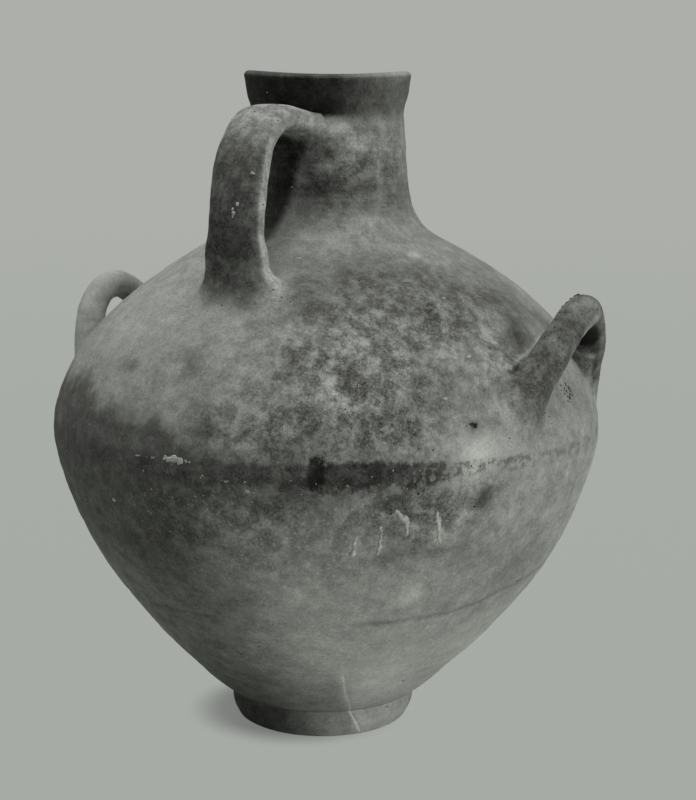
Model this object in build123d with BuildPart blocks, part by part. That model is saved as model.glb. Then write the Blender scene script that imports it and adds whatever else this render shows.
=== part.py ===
from build123d import *
import math
import os

# A large plain clay water jar with a ring foot, a swelling body, a short neck with an
# everted lip, one strap handle at the back and two upright roll handles at the sides.
# The potter threw it in sections and luted them together with slip, so every section
# is a piece of its own here, with the seat that it was set on.
#
# Millimetres. The origin is at the middle of the foot's resting face, +Z is up, the
# strap handle stands toward -Y and the two side handles toward +X and -X.

os.makedirs("parts", exist_ok=True)

# Heights, each one measured up from the one before it
foot_height = 20.0
low_belly_rise = 42.0
mid_belly_rise = 58.0
high_belly_rise = 40.0
greatest_rise = 52.0
side_seat_rise = 38.0
shoulder_rise = 35.0
strap_seat_rise = 31.0
neck_joint_rise = 27.0
neck_foot_rise = 11.0
neck_waist_rise = 21.0
lip_under_rise = 49.0
lip_height = 26.0

# The three outer radii that the rest of the outline follows
belly_foot_radius = 65.0
greatest_radius = 188.4
neck_top_radius = 51.3

# How much wider than the neck's top its lower parts and the lip are
neck_waist_flare = 3.3
neck_foot_flare = 8.2
neck_joint_flare = 17.2
lip_flare = 4.9

# Where the belly's outline lies on the way from its foot out to the greatest radius,
# and the shoulder's on the way from the neck's joint out to it
low_belly_share = 0.37
mid_belly_share = 0.737
high_belly_share = 0.9
side_seat_share = 0.905
shoulder_share = 0.696
strap_seat_share = 0.38

# How steeply the belly leaves the foot, from level
belly_foot_angle = 36.0

# Walls
wall = 7.5
neck_wall = 7.8

# Lip and mouth
lip_ledge = 0.5
lip_swell = 0.8
lip_rounding = 3.4
mouth_flare = 3.1
mouth_flare_depth = 12.0
bore_length = 70.0

# Ring foot
foot_ledge = 1.4
foot_taper = 3.2
foot_swell = 1.9
foot_ring_width = 14.0
foot_edge_rounding = 2.5
boss_depth = 6.0
boss_ledge = 8.0
floor_thickness = 10.5
floor_corner = 9.0

# Luted joints: a low key on the lower rim stands in a groove of the upper one
key_width = 3.0
key_height = 2.5
slip_gap = 0.3

# Strap handle, from under the lip down to the shoulder
strap_width = 38.0
strap_thickness = 16.6
strap_below_lip = 6.0
strap_run = 28.0
strap_run_slope = 2.0
strap_bend_radius = 28.0
strap_bend_turn = 72.0
strap_neck_spread = 4.5
strap_neck_reach = 15.0
strap_root_spread = 11.0
strap_root_reach = 28.0
strap_sections = 16

# Side handles, each a roll bent into a pointed arch that stands nearly upright
roll_diameter = 20.8
side_handle_azimuth = 91.9
side_handle_tilt = 74.0
side_handle_rise = 52.0
side_handle_bend_radius = 29.0
side_handle_lean = 23.0
side_root_spread = 6.5
side_root_reach = 30.0
side_sections = 20

# How far a handle's path runs on under the wall before it is trimmed to it
neck_bury = 15.0
strap_root_bury = 24.0
side_root_bury = 34.0

# Heights above the foot's resting face
low_belly_height = foot_height + low_belly_rise
mid_belly_height = low_belly_height + mid_belly_rise
high_belly_height = mid_belly_height + high_belly_rise
greatest_height = high_belly_height + greatest_rise
side_seat_height = greatest_height + side_seat_rise
shoulder_height = side_seat_height + shoulder_rise
strap_seat_height = shoulder_height + strap_seat_rise
neck_joint_height = strap_seat_height + neck_joint_rise
neck_foot_height = neck_joint_height + neck_foot_rise
neck_waist_height = neck_foot_height + neck_waist_rise
lip_under_height = neck_waist_height + lip_under_rise
jar_height = lip_under_height + lip_height

# Outer radii at those heights
neck_joint_radius = neck_top_radius + neck_joint_flare
neck_foot_radius = neck_top_radius + neck_foot_flare
neck_waist_radius = neck_top_radius + neck_waist_flare
lip_radius = neck_top_radius + lip_flare
belly_spread = greatest_radius - belly_foot_radius
low_belly_radius = belly_foot_radius + low_belly_share * belly_spread
mid_belly_radius = belly_foot_radius + mid_belly_share * belly_spread
high_belly_radius = belly_foot_radius + high_belly_share * belly_spread
shoulder_spread = greatest_radius - neck_joint_radius
side_seat_radius = neck_joint_radius + side_seat_share * shoulder_spread
shoulder_radius = neck_joint_radius + shoulder_share * shoulder_spread
strap_seat_radius = neck_joint_radius + strap_seat_share * shoulder_spread

# The ring foot and the boss in it, both narrower than the belly's foot
foot_top_radius = belly_foot_radius - foot_ledge
foot_rest_radius = foot_top_radius - foot_taper
boss_radius = belly_foot_radius - boss_ledge
boss_height = foot_height - boss_depth
floor_height = boss_height + floor_thickness
bore_radius = neck_top_radius - neck_wall
mouth_radius = bore_radius + mouth_flare
bore_top = jar_height - mouth_flare_depth
bore_bottom = bore_top - bore_length

# The body's outer outline, from the foot up to the neck's joint, as radius and height
body_outline = [
    Vector(belly_foot_radius, foot_height),
    Vector(low_belly_radius, low_belly_height),
    Vector(mid_belly_radius, mid_belly_height),
    Vector(high_belly_radius, high_belly_height),
    Vector(greatest_radius, greatest_height),
    Vector(side_seat_radius, side_seat_height),
    Vector(shoulder_radius, shoulder_height),
    Vector(strap_seat_radius, strap_seat_height),
    Vector(neck_joint_radius, neck_joint_height),
]
neck_outline = [
    Vector(neck_foot_radius, neck_foot_height),
    Vector(neck_waist_radius, neck_waist_height),
    Vector(neck_top_radius, lip_under_height),
]


def inset(points, depth):
    """Move each point of an upward outline inward, square to its neighbours' chord."""
    moved = []
    for before, here, after in zip(points[:1] + points[:-1], points, points[1:] + points[-1:]):
        along = (after - before).normalized()
        moved.append(here + along.rotate(Axis.Z, 90) * depth)
    return moved


def root_spread(distance, bury, reach):
    """1 halfway down a handle's buried end, falling smoothly to 0 away from there."""
    return math.exp(-(((distance - bury / 2) / reach) ** 2))


# The jar as if it were solid, which trims the handles and gives the walls their outside
with BuildPart() as jar_form:
    with BuildSketch(Plane.XZ) as form_profile:
        with BuildLine() as form_line:
            Polyline(
                (0, jar_height),
                (0, boss_height),
                (boss_radius, boss_height),
                (boss_radius, foot_height),
                (belly_foot_radius, foot_height),
            )
            belly_start = Vector(1, 0).rotate(Axis.Z, belly_foot_angle)
            neck_end = (neck_outline[-1] - neck_outline[-2]).normalized()
            Spline(*body_outline, *neck_outline, tangents=(belly_start, neck_end))
            lip_start = Vector(neck_top_radius + lip_ledge, lip_under_height)
            lip_end = Vector(lip_radius, jar_height)
            Line(neck_outline[-1], lip_start)
            ThreePointArc(lip_start, (lip_start + lip_end) / 2 + Vector(lip_swell, 0), lip_end)
            Line(lip_end, (0, jar_height))
        make_face()
    revolve(axis=Axis.Z)

# The space inside it, from the floor to the mouth
with BuildPart() as jar_hollow:
    with BuildSketch(Plane.XZ) as hollow_profile:
        with BuildLine() as hollow_line:
            inner_outline = inset(body_outline, wall)
            bore_start = Vector(bore_radius, bore_bottom)
            Polyline(
                (0, jar_height),
                (0, floor_height),
                (inner_outline[0].X - floor_corner, floor_height),
                inner_outline[0],
            )
            wall_start = (inner_outline[1] - inner_outline[0]).normalized()
            Spline(*inner_outline, bore_start, tangents=(wall_start, (0, 1)))
            Line(bore_start, (bore_radius, bore_top))
            RadiusArc(
                (bore_radius, bore_top),
                (mouth_radius, jar_height),
                -(mouth_flare_depth**2 + (mouth_radius - bore_radius) ** 2)
                / (2 * (mouth_radius - bore_radius)),
            )
            Line((mouth_radius, jar_height), (0, jar_height))
        make_face()
    revolve(axis=Axis.Z)

# Ring foot: a band with a slightly swollen face, hollow beneath, with a socket on top
with BuildPart() as foot_ring:
    with BuildSketch(Plane.XZ) as foot_profile:
        with BuildLine() as foot_line:
            foot_inner_radius = foot_rest_radius - foot_ring_width
            foot_bottom = Vector(foot_rest_radius, 0)
            foot_top = Vector(foot_top_radius, foot_height)
            Line((foot_inner_radius, 0), foot_bottom)
            ThreePointArc(foot_bottom, (foot_bottom + foot_top) / 2 + Vector(foot_swell, 0), foot_top)
            Polyline(
                foot_top,
                (boss_radius + slip_gap, foot_height),
                (boss_radius + slip_gap, boss_height),
                (foot_inner_radius, boss_height),
                (foot_inner_radius, 0),
            )
        make_face()
    revolve(axis=Axis.Z)
    fillet(foot_ring.edges().group_by(Axis.Z)[0], radius=foot_edge_rounding)
foot_ring.part.label = "foot_ring"
export_step(foot_ring.part, "parts/foot_ring.step")

belly_key_radius = greatest_radius - wall / 2
neck_key_radius = neck_joint_radius - wall

# Lower body: the thrown bowl, with the boss under its floor and the key on its rim
with BuildPart() as lower_body:
    add(jar_form.part)
    split(bisect_by=Plane.XY.offset(greatest_height), keep=Keep.BOTTOM)
    add(jar_hollow.part, mode=Mode.SUBTRACT)
    with BuildSketch(Plane.XY.offset(greatest_height)):
        Circle(belly_key_radius + key_width / 2)
        Circle(belly_key_radius - key_width / 2, mode=Mode.SUBTRACT)
    extrude(amount=key_height)
lower_body.part.label = "lower_body"
export_step(lower_body.part, "parts/lower_body.step")

# Upper body: the shoulder, grooved over the bowl's key, with a key for the neck
with BuildPart() as upper_body:
    add(jar_form.part)
    split(bisect_by=Plane.XY.offset(greatest_height), keep=Keep.TOP)
    split(bisect_by=Plane.XY.offset(neck_joint_height), keep=Keep.BOTTOM)
    add(jar_hollow.part, mode=Mode.SUBTRACT)
    with BuildSketch(Plane.XY.offset(greatest_height)):
        Circle(belly_key_radius + key_width / 2 + slip_gap)
        Circle(belly_key_radius - key_width / 2 - slip_gap, mode=Mode.SUBTRACT)
    extrude(amount=key_height + slip_gap, mode=Mode.SUBTRACT)
    with BuildSketch(Plane.XY.offset(neck_joint_height)):
        Circle(neck_key_radius + key_width / 2)
        Circle(neck_key_radius - key_width / 2, mode=Mode.SUBTRACT)
    extrude(amount=key_height)
upper_body.part.label = "upper_body"
export_step(upper_body.part, "parts/upper_body.step")

# Neck and mouth: one thrown tube with the lip turned out, grooved over the shoulder's key
with BuildPart() as neck_and_mouth:
    add(jar_form.part)
    split(bisect_by=Plane.XY.offset(neck_joint_height), keep=Keep.TOP)
    add(jar_hollow.part, mode=Mode.SUBTRACT)
    with BuildSketch(Plane.XY.offset(neck_joint_height)):
        Circle(neck_key_radius + key_width / 2 + slip_gap)
        Circle(neck_key_radius - key_width / 2 - slip_gap, mode=Mode.SUBTRACT)
    extrude(amount=key_height + slip_gap, mode=Mode.SUBTRACT)
    fillet(neck_and_mouth.edges().group_by(Axis.Z)[-1], radius=lip_rounding)
neck_and_mouth.part.label = "neck_and_mouth"
export_step(neck_and_mouth.part, "parts/neck_and_mouth.step")

# Strap handle: out level from under the lip, bent down and bowed to its spread root.
# Its path is drawn flat, radius against height, and then stood up toward -Y.
strap_side = Plane(origin=(0, 0, 0), x_dir=(0, -1, 0), z_dir=(-1, 0, 0))
with BuildLine() as strap_path:
    slope = math.radians(strap_run_slope)
    run_height = lip_under_height - strap_below_lip
    run = Line(
        (neck_top_radius - neck_bury, run_height - neck_bury * math.tan(slope)),
        (neck_top_radius + strap_run, run_height + strap_run * math.tan(slope)),
    )
    bend = JernArc(
        start=run @ 1, tangent=run % 1, radius=strap_bend_radius, arc_size=-strap_bend_turn
    )
    TangentArc(
        bend @ 1, (strap_seat_radius, strap_seat_height - strap_root_bury), tangent=bend % 1
    )
strap_wire = strap_path.wire().moved(strap_side.location)

with BuildPart() as vertical_handle:
    for section in range(strap_sections + 1):
        share = section / strap_sections
        from_neck = share * strap_wire.length
        from_root = strap_wire.length - from_neck
        at_neck = root_spread(from_neck, neck_bury, strap_neck_reach)
        at_root = root_spread(from_root, strap_root_bury, strap_root_reach)
        widen = at_neck * strap_neck_spread + at_root * strap_root_spread
        station = Plane(
            origin=strap_wire @ share, x_dir=(1, 0, 0), z_dir=strap_wire % share
        )
        with BuildSketch(station):
            Ellipse(strap_width / 2 + widen, strap_thickness / 2 + widen)
    loft()
    add(jar_form.part, mode=Mode.SUBTRACT)
vertical_handle.part.label = "vertical_handle"
export_step(vertical_handle.part, "parts/vertical_handle.step")

# Side handles: the same roll on both sides, seated where the shoulder turns in
lean = math.radians(side_handle_lean)
arch_point = side_handle_rise - side_handle_bend_radius + side_handle_bend_radius / math.sin(lean)
half_span = arch_point * math.tan(lean)
base_radius = math.sqrt(side_seat_radius**2 - half_span**2)
buried_half_span = (arch_point + side_root_bury) * math.tan(lean)

for handle_name, side in (("right_side_handle", 1), ("left_side_handle", -1)):
    azimuth = math.radians(side_handle_azimuth) * side
    outward = Vector(math.sin(azimuth), -math.cos(azimuth), 0)
    along_wall = Vector(math.cos(azimuth), math.sin(azimuth), 0)
    tilt = math.radians(side_handle_tilt)
    upright = outward * math.cos(tilt) + Vector(0, 0, math.sin(tilt))
    arch_plane = Plane(
        origin=outward * base_radius + Vector(0, 0, side_seat_height),
        x_dir=along_wall,
        z_dir=along_wall.cross(upright),
    )
    with BuildPart() as side_handle:
        with BuildLine(arch_plane) as arch_path:
            FilletPolyline(
                (-buried_half_span, -side_root_bury),
                (0, arch_point),
                (buried_half_span, -side_root_bury),
                radius=side_handle_bend_radius,
            )
        arch_length = arch_path.wire().length
        for section in range(side_sections + 1):
            share = section / side_sections
            end_distance = min(share, 1 - share) * arch_length
            widen = root_spread(end_distance, side_root_bury, side_root_reach) * side_root_spread
            station = Plane(
                origin=arch_path.wire() @ share,
                x_dir=arch_plane.z_dir,
                z_dir=arch_path.wire() % share,
            )
            with BuildSketch(station):
                Circle(roll_diameter / 2 + widen)
        loft()
        add(jar_form.part, mode=Mode.SUBTRACT)
    side_handle.part.label = handle_name
    export_step(side_handle.part, f"parts/{handle_name}.step")

print("jar height", jar_height, "greatest diameter", 2 * greatest_radius)
print("mouth bore radius", bore_radius, "from", bore_bottom, "to", bore_top)
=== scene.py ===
# %% [markdown]
# A clay water jar with three handles
#
# This lesson dresses a plain CAD jar as the real thing: a large unglazed pot, thrown on a
# wheel in sections, stained by smoke, worn, and dusted with lime from the ground. The CAD
# part stays the fixed frame. Each of its seven pieces gets a skin of its own that stands in
# the same place, and one clay finish runs over all of them.

# %% Load the fixed frame
import math

import bpy
import numpy as np
from mathutils import Matrix, Vector


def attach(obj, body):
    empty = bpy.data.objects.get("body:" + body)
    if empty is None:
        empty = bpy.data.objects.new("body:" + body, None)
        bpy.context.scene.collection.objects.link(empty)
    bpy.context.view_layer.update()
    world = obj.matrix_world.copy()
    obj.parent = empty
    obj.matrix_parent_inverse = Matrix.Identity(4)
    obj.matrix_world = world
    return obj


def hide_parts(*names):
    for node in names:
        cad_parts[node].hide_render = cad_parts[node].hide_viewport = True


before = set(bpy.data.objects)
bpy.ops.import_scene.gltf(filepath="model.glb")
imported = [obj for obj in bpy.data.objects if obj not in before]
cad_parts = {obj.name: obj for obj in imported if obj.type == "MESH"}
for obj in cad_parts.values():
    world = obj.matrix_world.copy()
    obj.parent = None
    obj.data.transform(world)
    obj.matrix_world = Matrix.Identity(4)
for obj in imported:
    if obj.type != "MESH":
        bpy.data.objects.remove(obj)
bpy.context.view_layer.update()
MM = 0.001
print("frame pieces:", sorted(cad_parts))

# %% [markdown]
# Camera
#
# The photograph was taken from the level of the rim, looking a little down, with a long
# lens. The jar stands so that its strap handle points 29 degrees to the left of the
# camera. A camera can be aimed with a constraint or with a matrix. The matrix is used
# here, because the print is turned by half a degree and a constraint can't say that.

# %% Place the camera
# Where the camera stands: degrees round the jar from its strap, and metres
eye_azimuth = 29.0
eye_distance = 1215 * MM
eye_height = 450 * MM
# How it is aimed, in radians, and its focal length in pixels of the photograph
tilt_down, swing_right, print_turn = 0.18350, 0.012185, 0.0076695
focal_pixels, photo_height = 1772.73, 800

heading = math.radians(eye_azimuth)
camera_away = np.array([-math.sin(heading), math.cos(heading), 0.0])
camera_right = np.array([math.cos(heading), math.sin(heading), 0.0])
sky = np.array([0.0, 0.0, 1.0])
side = math.cos(swing_right) * camera_right - math.sin(swing_right) * camera_away
ahead = math.sin(swing_right) * camera_right + math.cos(swing_right) * camera_away
view = math.cos(tilt_down) * ahead - math.sin(tilt_down) * sky
above = math.cos(tilt_down) * sky + math.sin(tilt_down) * ahead
image_right = math.cos(print_turn) * side + math.sin(print_turn) * above
image_up = -math.sin(print_turn) * side + math.cos(print_turn) * above


def put(name, data):
    """A new object at the scene's origin that holds a mesh, a lamp or a camera."""
    holder = bpy.data.objects.new(name, data)
    bpy.context.scene.collection.objects.link(holder)
    return holder


lens = bpy.data.cameras.new("Photo_camera")
lens.sensor_fit, lens.sensor_height = "VERTICAL", 36.0
lens.lens = focal_pixels * lens.sensor_height / photo_height
lens.clip_start, lens.clip_end = 0.05, 50
camera = put("Photo_camera", lens)
eye = -camera_away * eye_distance + sky * eye_height
axes = np.column_stack([image_right, image_up, -view, eye])
camera.matrix_world = Matrix([*axes.tolist(), [0, 0, 0, 1]])
bpy.context.scene.camera = camera
print("lens", round(lens.lens, 2), "mm, eye at", np.round(eye, 4))

# %% [markdown]
# The outline
#
# A thrown pot is a turned shape: one outline, swept round the axis. The outline is given
# as a few radii and heights in millimetres and joined by a smooth cubic spline, the same
# curve that a thin bent batten takes. Rows of points are then set along it at an even
# spacing, so that no part of the skin is coarser than the rest.

# %% Spline helpers
def spline(knots, values, at):
    """A natural cubic spline through the values, read at the given places."""
    knots, values = np.asarray(knots, float), np.asarray(values, float)
    gap = np.diff(knots)
    n = len(knots)
    system, wanted = np.eye(n), np.zeros(n)
    for i in range(1, n - 1):
        system[i, i - 1 : i + 2] = gap[i - 1], 2 * (gap[i - 1] + gap[i]), gap[i]
        rise = np.diff(values)[i - 1 : i + 1] / gap[i - 1 : i + 1]
        wanted[i] = 6 * (rise[1] - rise[0])
    bend = np.linalg.solve(system, wanted)
    i = np.clip(np.searchsorted(knots, at) - 1, 0, n - 2)
    left, right, h = at - knots[i], knots[i + 1] - at, gap[i]
    return (
        bend[i] * right**3 / (6 * h)
        + bend[i + 1] * left**3 / (6 * h)
        + (values[i] / h - bend[i] * h / 6) * right
        + (values[i + 1] / h - bend[i + 1] * h / 6) * left
    )


def run_along(points):
    """How far along a line of points each of them lies."""
    return np.r_[0, np.cumsum(np.linalg.norm(np.diff(points, axis=0), axis=1))]


def smooth_line(points, step):
    """Points in any number of dimensions, resampled on a smooth curve about step apart."""
    points = np.asarray(points, float)
    run = run_along(points)
    fine = np.linspace(0, run[-1], 2000)
    dense = np.column_stack([spline(run, column, fine) for column in points.T])
    length = run_along(dense)
    even = np.linspace(0, length[-1], max(2, int(round(length[-1] / step)) + 1))
    return np.column_stack([np.interp(even, length, column) for column in dense.T])


def smoothstep(low, high, x):
    """0 up to low, 1 from high on, and a smooth rise between. It falls if low is above high."""
    share = np.clip((np.asarray(x, float) - low) / (high - low), 0, 1)
    return share * share * (3 - 2 * share)


def bell(x, half_width):
    """1 at 0, fading smoothly to 0 on both sides."""
    return np.exp(-((x / half_width) ** 2))


# %% The jar's outline, as radius and height in millimetres
body_outline = [
    (65.0, 20), (80.4, 32), (93.5, 45), (110.6, 62), (130.4, 85), (155.9, 120), (175.5, 160),
    (185.4, 190), (188.2, 212), (183.4, 235), (171.8, 260), (151.9, 285), (125.1, 308),
    (101.1, 324), (83.6, 334), (68.4, 343), (60.0, 354), (54.6, 375), (52.9, 400), (51.1, 423),
]
belly_seam, neck_seam = 212.0, 343.0
wall = 7.5
outline_line = smooth_line(body_outline, 0.5)


def wall_radius(height):
    """The outer radius at a height, from the foot to the underside of the lip."""
    return np.interp(height, outline_line[:, 1], outline_line[:, 0])


print("outline", len(outline_line), "points, widest", round(outline_line[:, 0].max(), 2), "mm")

# %% [markdown]
# The hand in the clay
#
# No thrown pot is perfectly round. The wheel leaves fine rings, the fingers leave soft
# hollows, and the jar leans a little where it dried. All of that is small, a few millimetres
# at the most, but it is what stops a pot from looking like a lathe-turned part.
# Sums of waves through space give soft unevenness without a seam at the back, because
# they are read at the point's place and not at its angle.

# %% Unevenness of the thrown wall
# Heights, and how far the axis has wandered there to the camera's right, in mm
wander_heights = [0, 40, 100, 200, 260, 320, 350, 450]
wander_right = [-2.1, -1.1, -0.3, -0.15, 0.95, 2.4, 0.7, -0.6]
# Lengths of the wheel's rings, how deep they are for their length, and their climb, in mm
ring_lengths, ring_depth, climb_per_turn = (4.3, 5.9, 8.2, 11.7, 16.4), 0.0085, 3.0


def waves(places, size, seed, count=20):
    """Soft random swells about size millimetres long, from about -1 to 1."""
    rng = np.random.default_rng(seed)
    direction = rng.normal(size=(count, 3))
    direction /= np.linalg.norm(direction, axis=1)[:, None]
    pace = 2 * math.pi / (size * rng.uniform(0.7, 1.5, count))
    phase = rng.uniform(0, 2 * math.pi, count)
    total = np.zeros(places.shape[:-1])
    for axis, speed, start in zip(direction, pace, phase):
        total += np.cos(places @ axis * speed + start)
    return total / math.sqrt(count)


def wheel_rings(theta, height, seed=5):
    """The rings that the fingers leave, slightly helical, in millimetres."""
    rng = np.random.default_rng(seed)
    climb = height + climb_per_turn * theta / 360
    total = np.zeros(np.broadcast(theta, height).shape)
    for length in ring_lengths:
        phase = rng.uniform(0, 2 * math.pi)
        sway = 0.6 * np.sin(np.radians(theta) * rng.integers(1, 4) + rng.uniform(0, 6))
        total += ring_depth * length**0.8 * np.sin(2 * math.pi * climb / length + phase + sway)
    return total


# %% Places and angles round the jar
def round_place(theta, radius, height):
    """Angle in degrees, radius and height to a point. Angle 0 is toward the strap handle."""
    turn = np.radians(theta)
    return np.stack(
        np.broadcast_arrays(radius * np.sin(turn), -radius * np.cos(turn), height), axis=-1
    )


def own_angle(points):
    """The angle round the jar's axis at which points lie, in degrees."""
    return np.degrees(np.arctan2(points[..., 0], -points[..., 1]))


def wander(height):
    """How far the axis has wandered at a height, as vectors in millimetres."""
    return spline(wander_heights, wander_right, height)[..., None] * camera_right


def seen(angle):
    """An angle counted from the camera's side to the jar's own angle."""
    return angle + eye_azimuth


def from_camera(theta):
    """The jar's own angle counted from the camera's side, from -180 to 180."""
    return (theta - eye_azimuth + 180) % 360 - 180


# %% Spots and lines on the wall
def spot(theta, height, angle, level, half_width, half_height):
    """1 at a place on the wall, fading smoothly to 0 around it."""
    across = np.radians(from_camera(theta - angle)) * wall_radius(level)
    return bell(across, half_width) * bell(height - level, half_height)


def tally(theta, height, places):
    """The sum of spots, each (angle, height, half width, half height, amount)."""
    total = np.zeros(np.broadcast(theta, height).shape)
    for angle, level, half_width, half_height, amount in places:
        total += amount * spot(theta, height, angle, level, half_width, half_height)
    return total


def level_line(theta, height, points, half_height):
    """1 on a line round the wall through (angle, height) points, fading above and below."""
    angle = from_camera(theta)
    angle = np.where(angle < points[0][0] - 30, angle + 360, angle)
    stops, levels = zip(*points)
    start = smoothstep(stops[0] - 5, stops[0] + 4, angle)
    end = smoothstep(stops[-1] + 5, stops[-1] - 4, angle)
    return start * end * bell(height - np.interp(angle, stops, levels), half_height)


def upright_line(theta, height, points, half_width, aside=0.0):
    """1 on a line up the wall through (angle, height) points, or aside of it by so much."""
    angles, levels = zip(*points)
    around = from_camera(theta - np.interp(height, levels, angles))
    across = np.radians(around) * wall_radius(height) - aside
    start = smoothstep(levels[0] - 2, levels[0] + 2, height)
    end = smoothstep(levels[-1] + 3, levels[-1] - 3, height)
    return start * end * bell(across, half_width)


# %% Dents, grooves and pits at their places
# Each: angle from the camera, height, half width, half height, how far it stands out, in mm
dents = [
    (29.7, 238.1, 2.3, 3, -2.4), (27.8, 238.6, 1.2, 1.2, -1), (44.6, 16.5, 1.3, 1.3, -1.2),
    (34.2, 47.3, 1.6, 1.2, -1.4), (28, 192, 14, 6, -0.9), (46, 246, 10, 10, -0.9),
    (18.7, 128, 14, 7, -0.4), (-12, 128, 30, 18, -0.5), (40, 150, 26, 12, -0.5),
    (-48, 262, 22, 12, -0.5), (50, 283.5, 12, 5.5, -1.8), (150, 240, 26, 14, -0.7),
    (-150, 130, 30, 20, -0.7), (39.8, 332.8, 4.5, 1.6, -0.9), (-24, 308, 9, 4, -0.6),
]
# Lines turned on the wheel: points of (angle, height), half height, how far they stand out.
# The last one is a low ridge, lit by a painted highlight in the tone marks.
turned_lines = [
    ([(7, 107.9), (20.3, 108.4), (32.2, 109.8), (41, 113.6), (48.5, 118.9), (59, 121.3),
      (75, 123)], 2.1, -0.95),
    ([(37, 168.8), (48, 168.5), (58.6, 168.3), (72, 168)], 1.3, -0.45),
    ([(-75, 101), (-57.7, 103.3), (-43.6, 106.2), (-30, 107.5)], 1.4, -0.6),
    ([(-20, 64), (0, 62.5), (12, 64)], 1.2, -0.3),
    ([(110, 118), (150, 113), (190, 110), (230, 112)], 1.8, -0.5),
    ([(43, 268.8), (48, 272.3), (54, 276), (60, 280)], 1.7, 1.1),
]
# The crack in the foot and the wall over it, as points of (angle, height)
foot_crack = [(25.5, 1.9), (17.2, 18.1), (13.0, 30.0), (9.4, 40.6), (6.0, 62.4)]
# Soft swells of the wall: length and depth in mm, and their seed
swells = [(150, 0.35, 11), (48, 0.16, 12), (17, 0.07, 13)]
# How far the wall steps down along the crack, and how far the widest part is worn, in mm
crack_step, worn_belly = 0.35, 0.45
# Lime runs down the wall, as points of (angle, height, width)
lime_runs = [
    [(5.8, 174, 1), (5.5, 170, 2.6), (5.5, 166, 1.2), (5.4, 163, 4.4), (5.4, 160.5, 2.8)],
    [(10.4, 179.5, 2.6), (10.7, 176, 0.8), (10.6, 171, 1.8), (10.5, 166, 2.2), (10.3, 161, 1.6)],
    [(13.1, 190.6, 1.8), (13.9, 187.5, 3), (14.9, 184.5, 5.6), (15.4, 181.5, 4),
     (15.7, 177.5, 1.8), (15.9, 173.5, 1.4)],
    [(21.6, 188, 1.4), (21.7, 184.5, 2.4), (21.8, 181.5, 5.2), (22.1, 178.5, 3.6),
     (22.5, 173.5, 2), (23.2, 165.5, 1.6)],
    [(41.2, 229, 1.3), (43.3, 225.4, 1.8), (46.4, 226.6, 1.3)],
]


# %% The finished wall
def relief(theta, height):
    """How far the wall stands proud of the plain outline, in millimetres."""
    places = round_place(theta, wall_radius(height), height)
    total = wheel_rings(theta, height) + tally(theta, height, dents)
    for length, depth, seed in swells:
        total += depth * waves(places, length, seed)
    for points, half_height, amount in turned_lines:
        total += amount * level_line(theta, height, points, half_height)
    total -= crack_step * upright_line(theta, height, foot_crack, 1.1, aside=-1.0)
    widest = smoothstep(60, 8, np.abs(height - 205))
    return total - worn_belly * widest


def stand(theta, radius, height):
    """A point of the turned shape, moved as the real jar leans and its rim dips."""
    dip = 1.0 + np.cos(2 * np.radians(theta - eye_azimuth))
    sunk = height - dip * smoothstep(400, 446, height)
    return round_place(theta, radius, sunk) + wander(np.asarray(height, float))


def outer_wall(theta, height):
    """The place of the finished outer skin of the belly or neck."""
    return stand(theta, wall_radius(height) + relief(theta, height), height)


check = relief(np.linspace(0, 360, 361)[:, None], np.linspace(20, 420, 201)[None])
print("relief from", round(check.min(), 2), "to", round(check.max(), 2), "mm")

# %% [markdown]
# Marks on the surface
#
# Smoke, wear and dirt don't follow the mesh, so they could be drawn in the material by
# textures alone. Marks listed one by one are easier to steer when each vertex carries a few
# numbers: how pale, how sooty or how mottled its place is. The material then breaks up their
# edges with fine noise, so a coarse mark still gets a ragged border. Tones are given
# in steps of 1/255 of an sRGB grey, the way the eye counts them on a screen.

# %% Paler and darker places
# Each: angle from the camera, height, half width and half height in mm, steps paler or
# darker. Each list runs from left to right.
# On the foot ring
foot_tones = [
    (-34, 9, 40, 14, -40), (-10, 12, 30, 8, 14), (8, 9, 22, 14, -4), (16, 9, 22, 12, 14),
    (22, 8, 5, 12, 14), (56, 9, 30, 14, 12),
]
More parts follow.
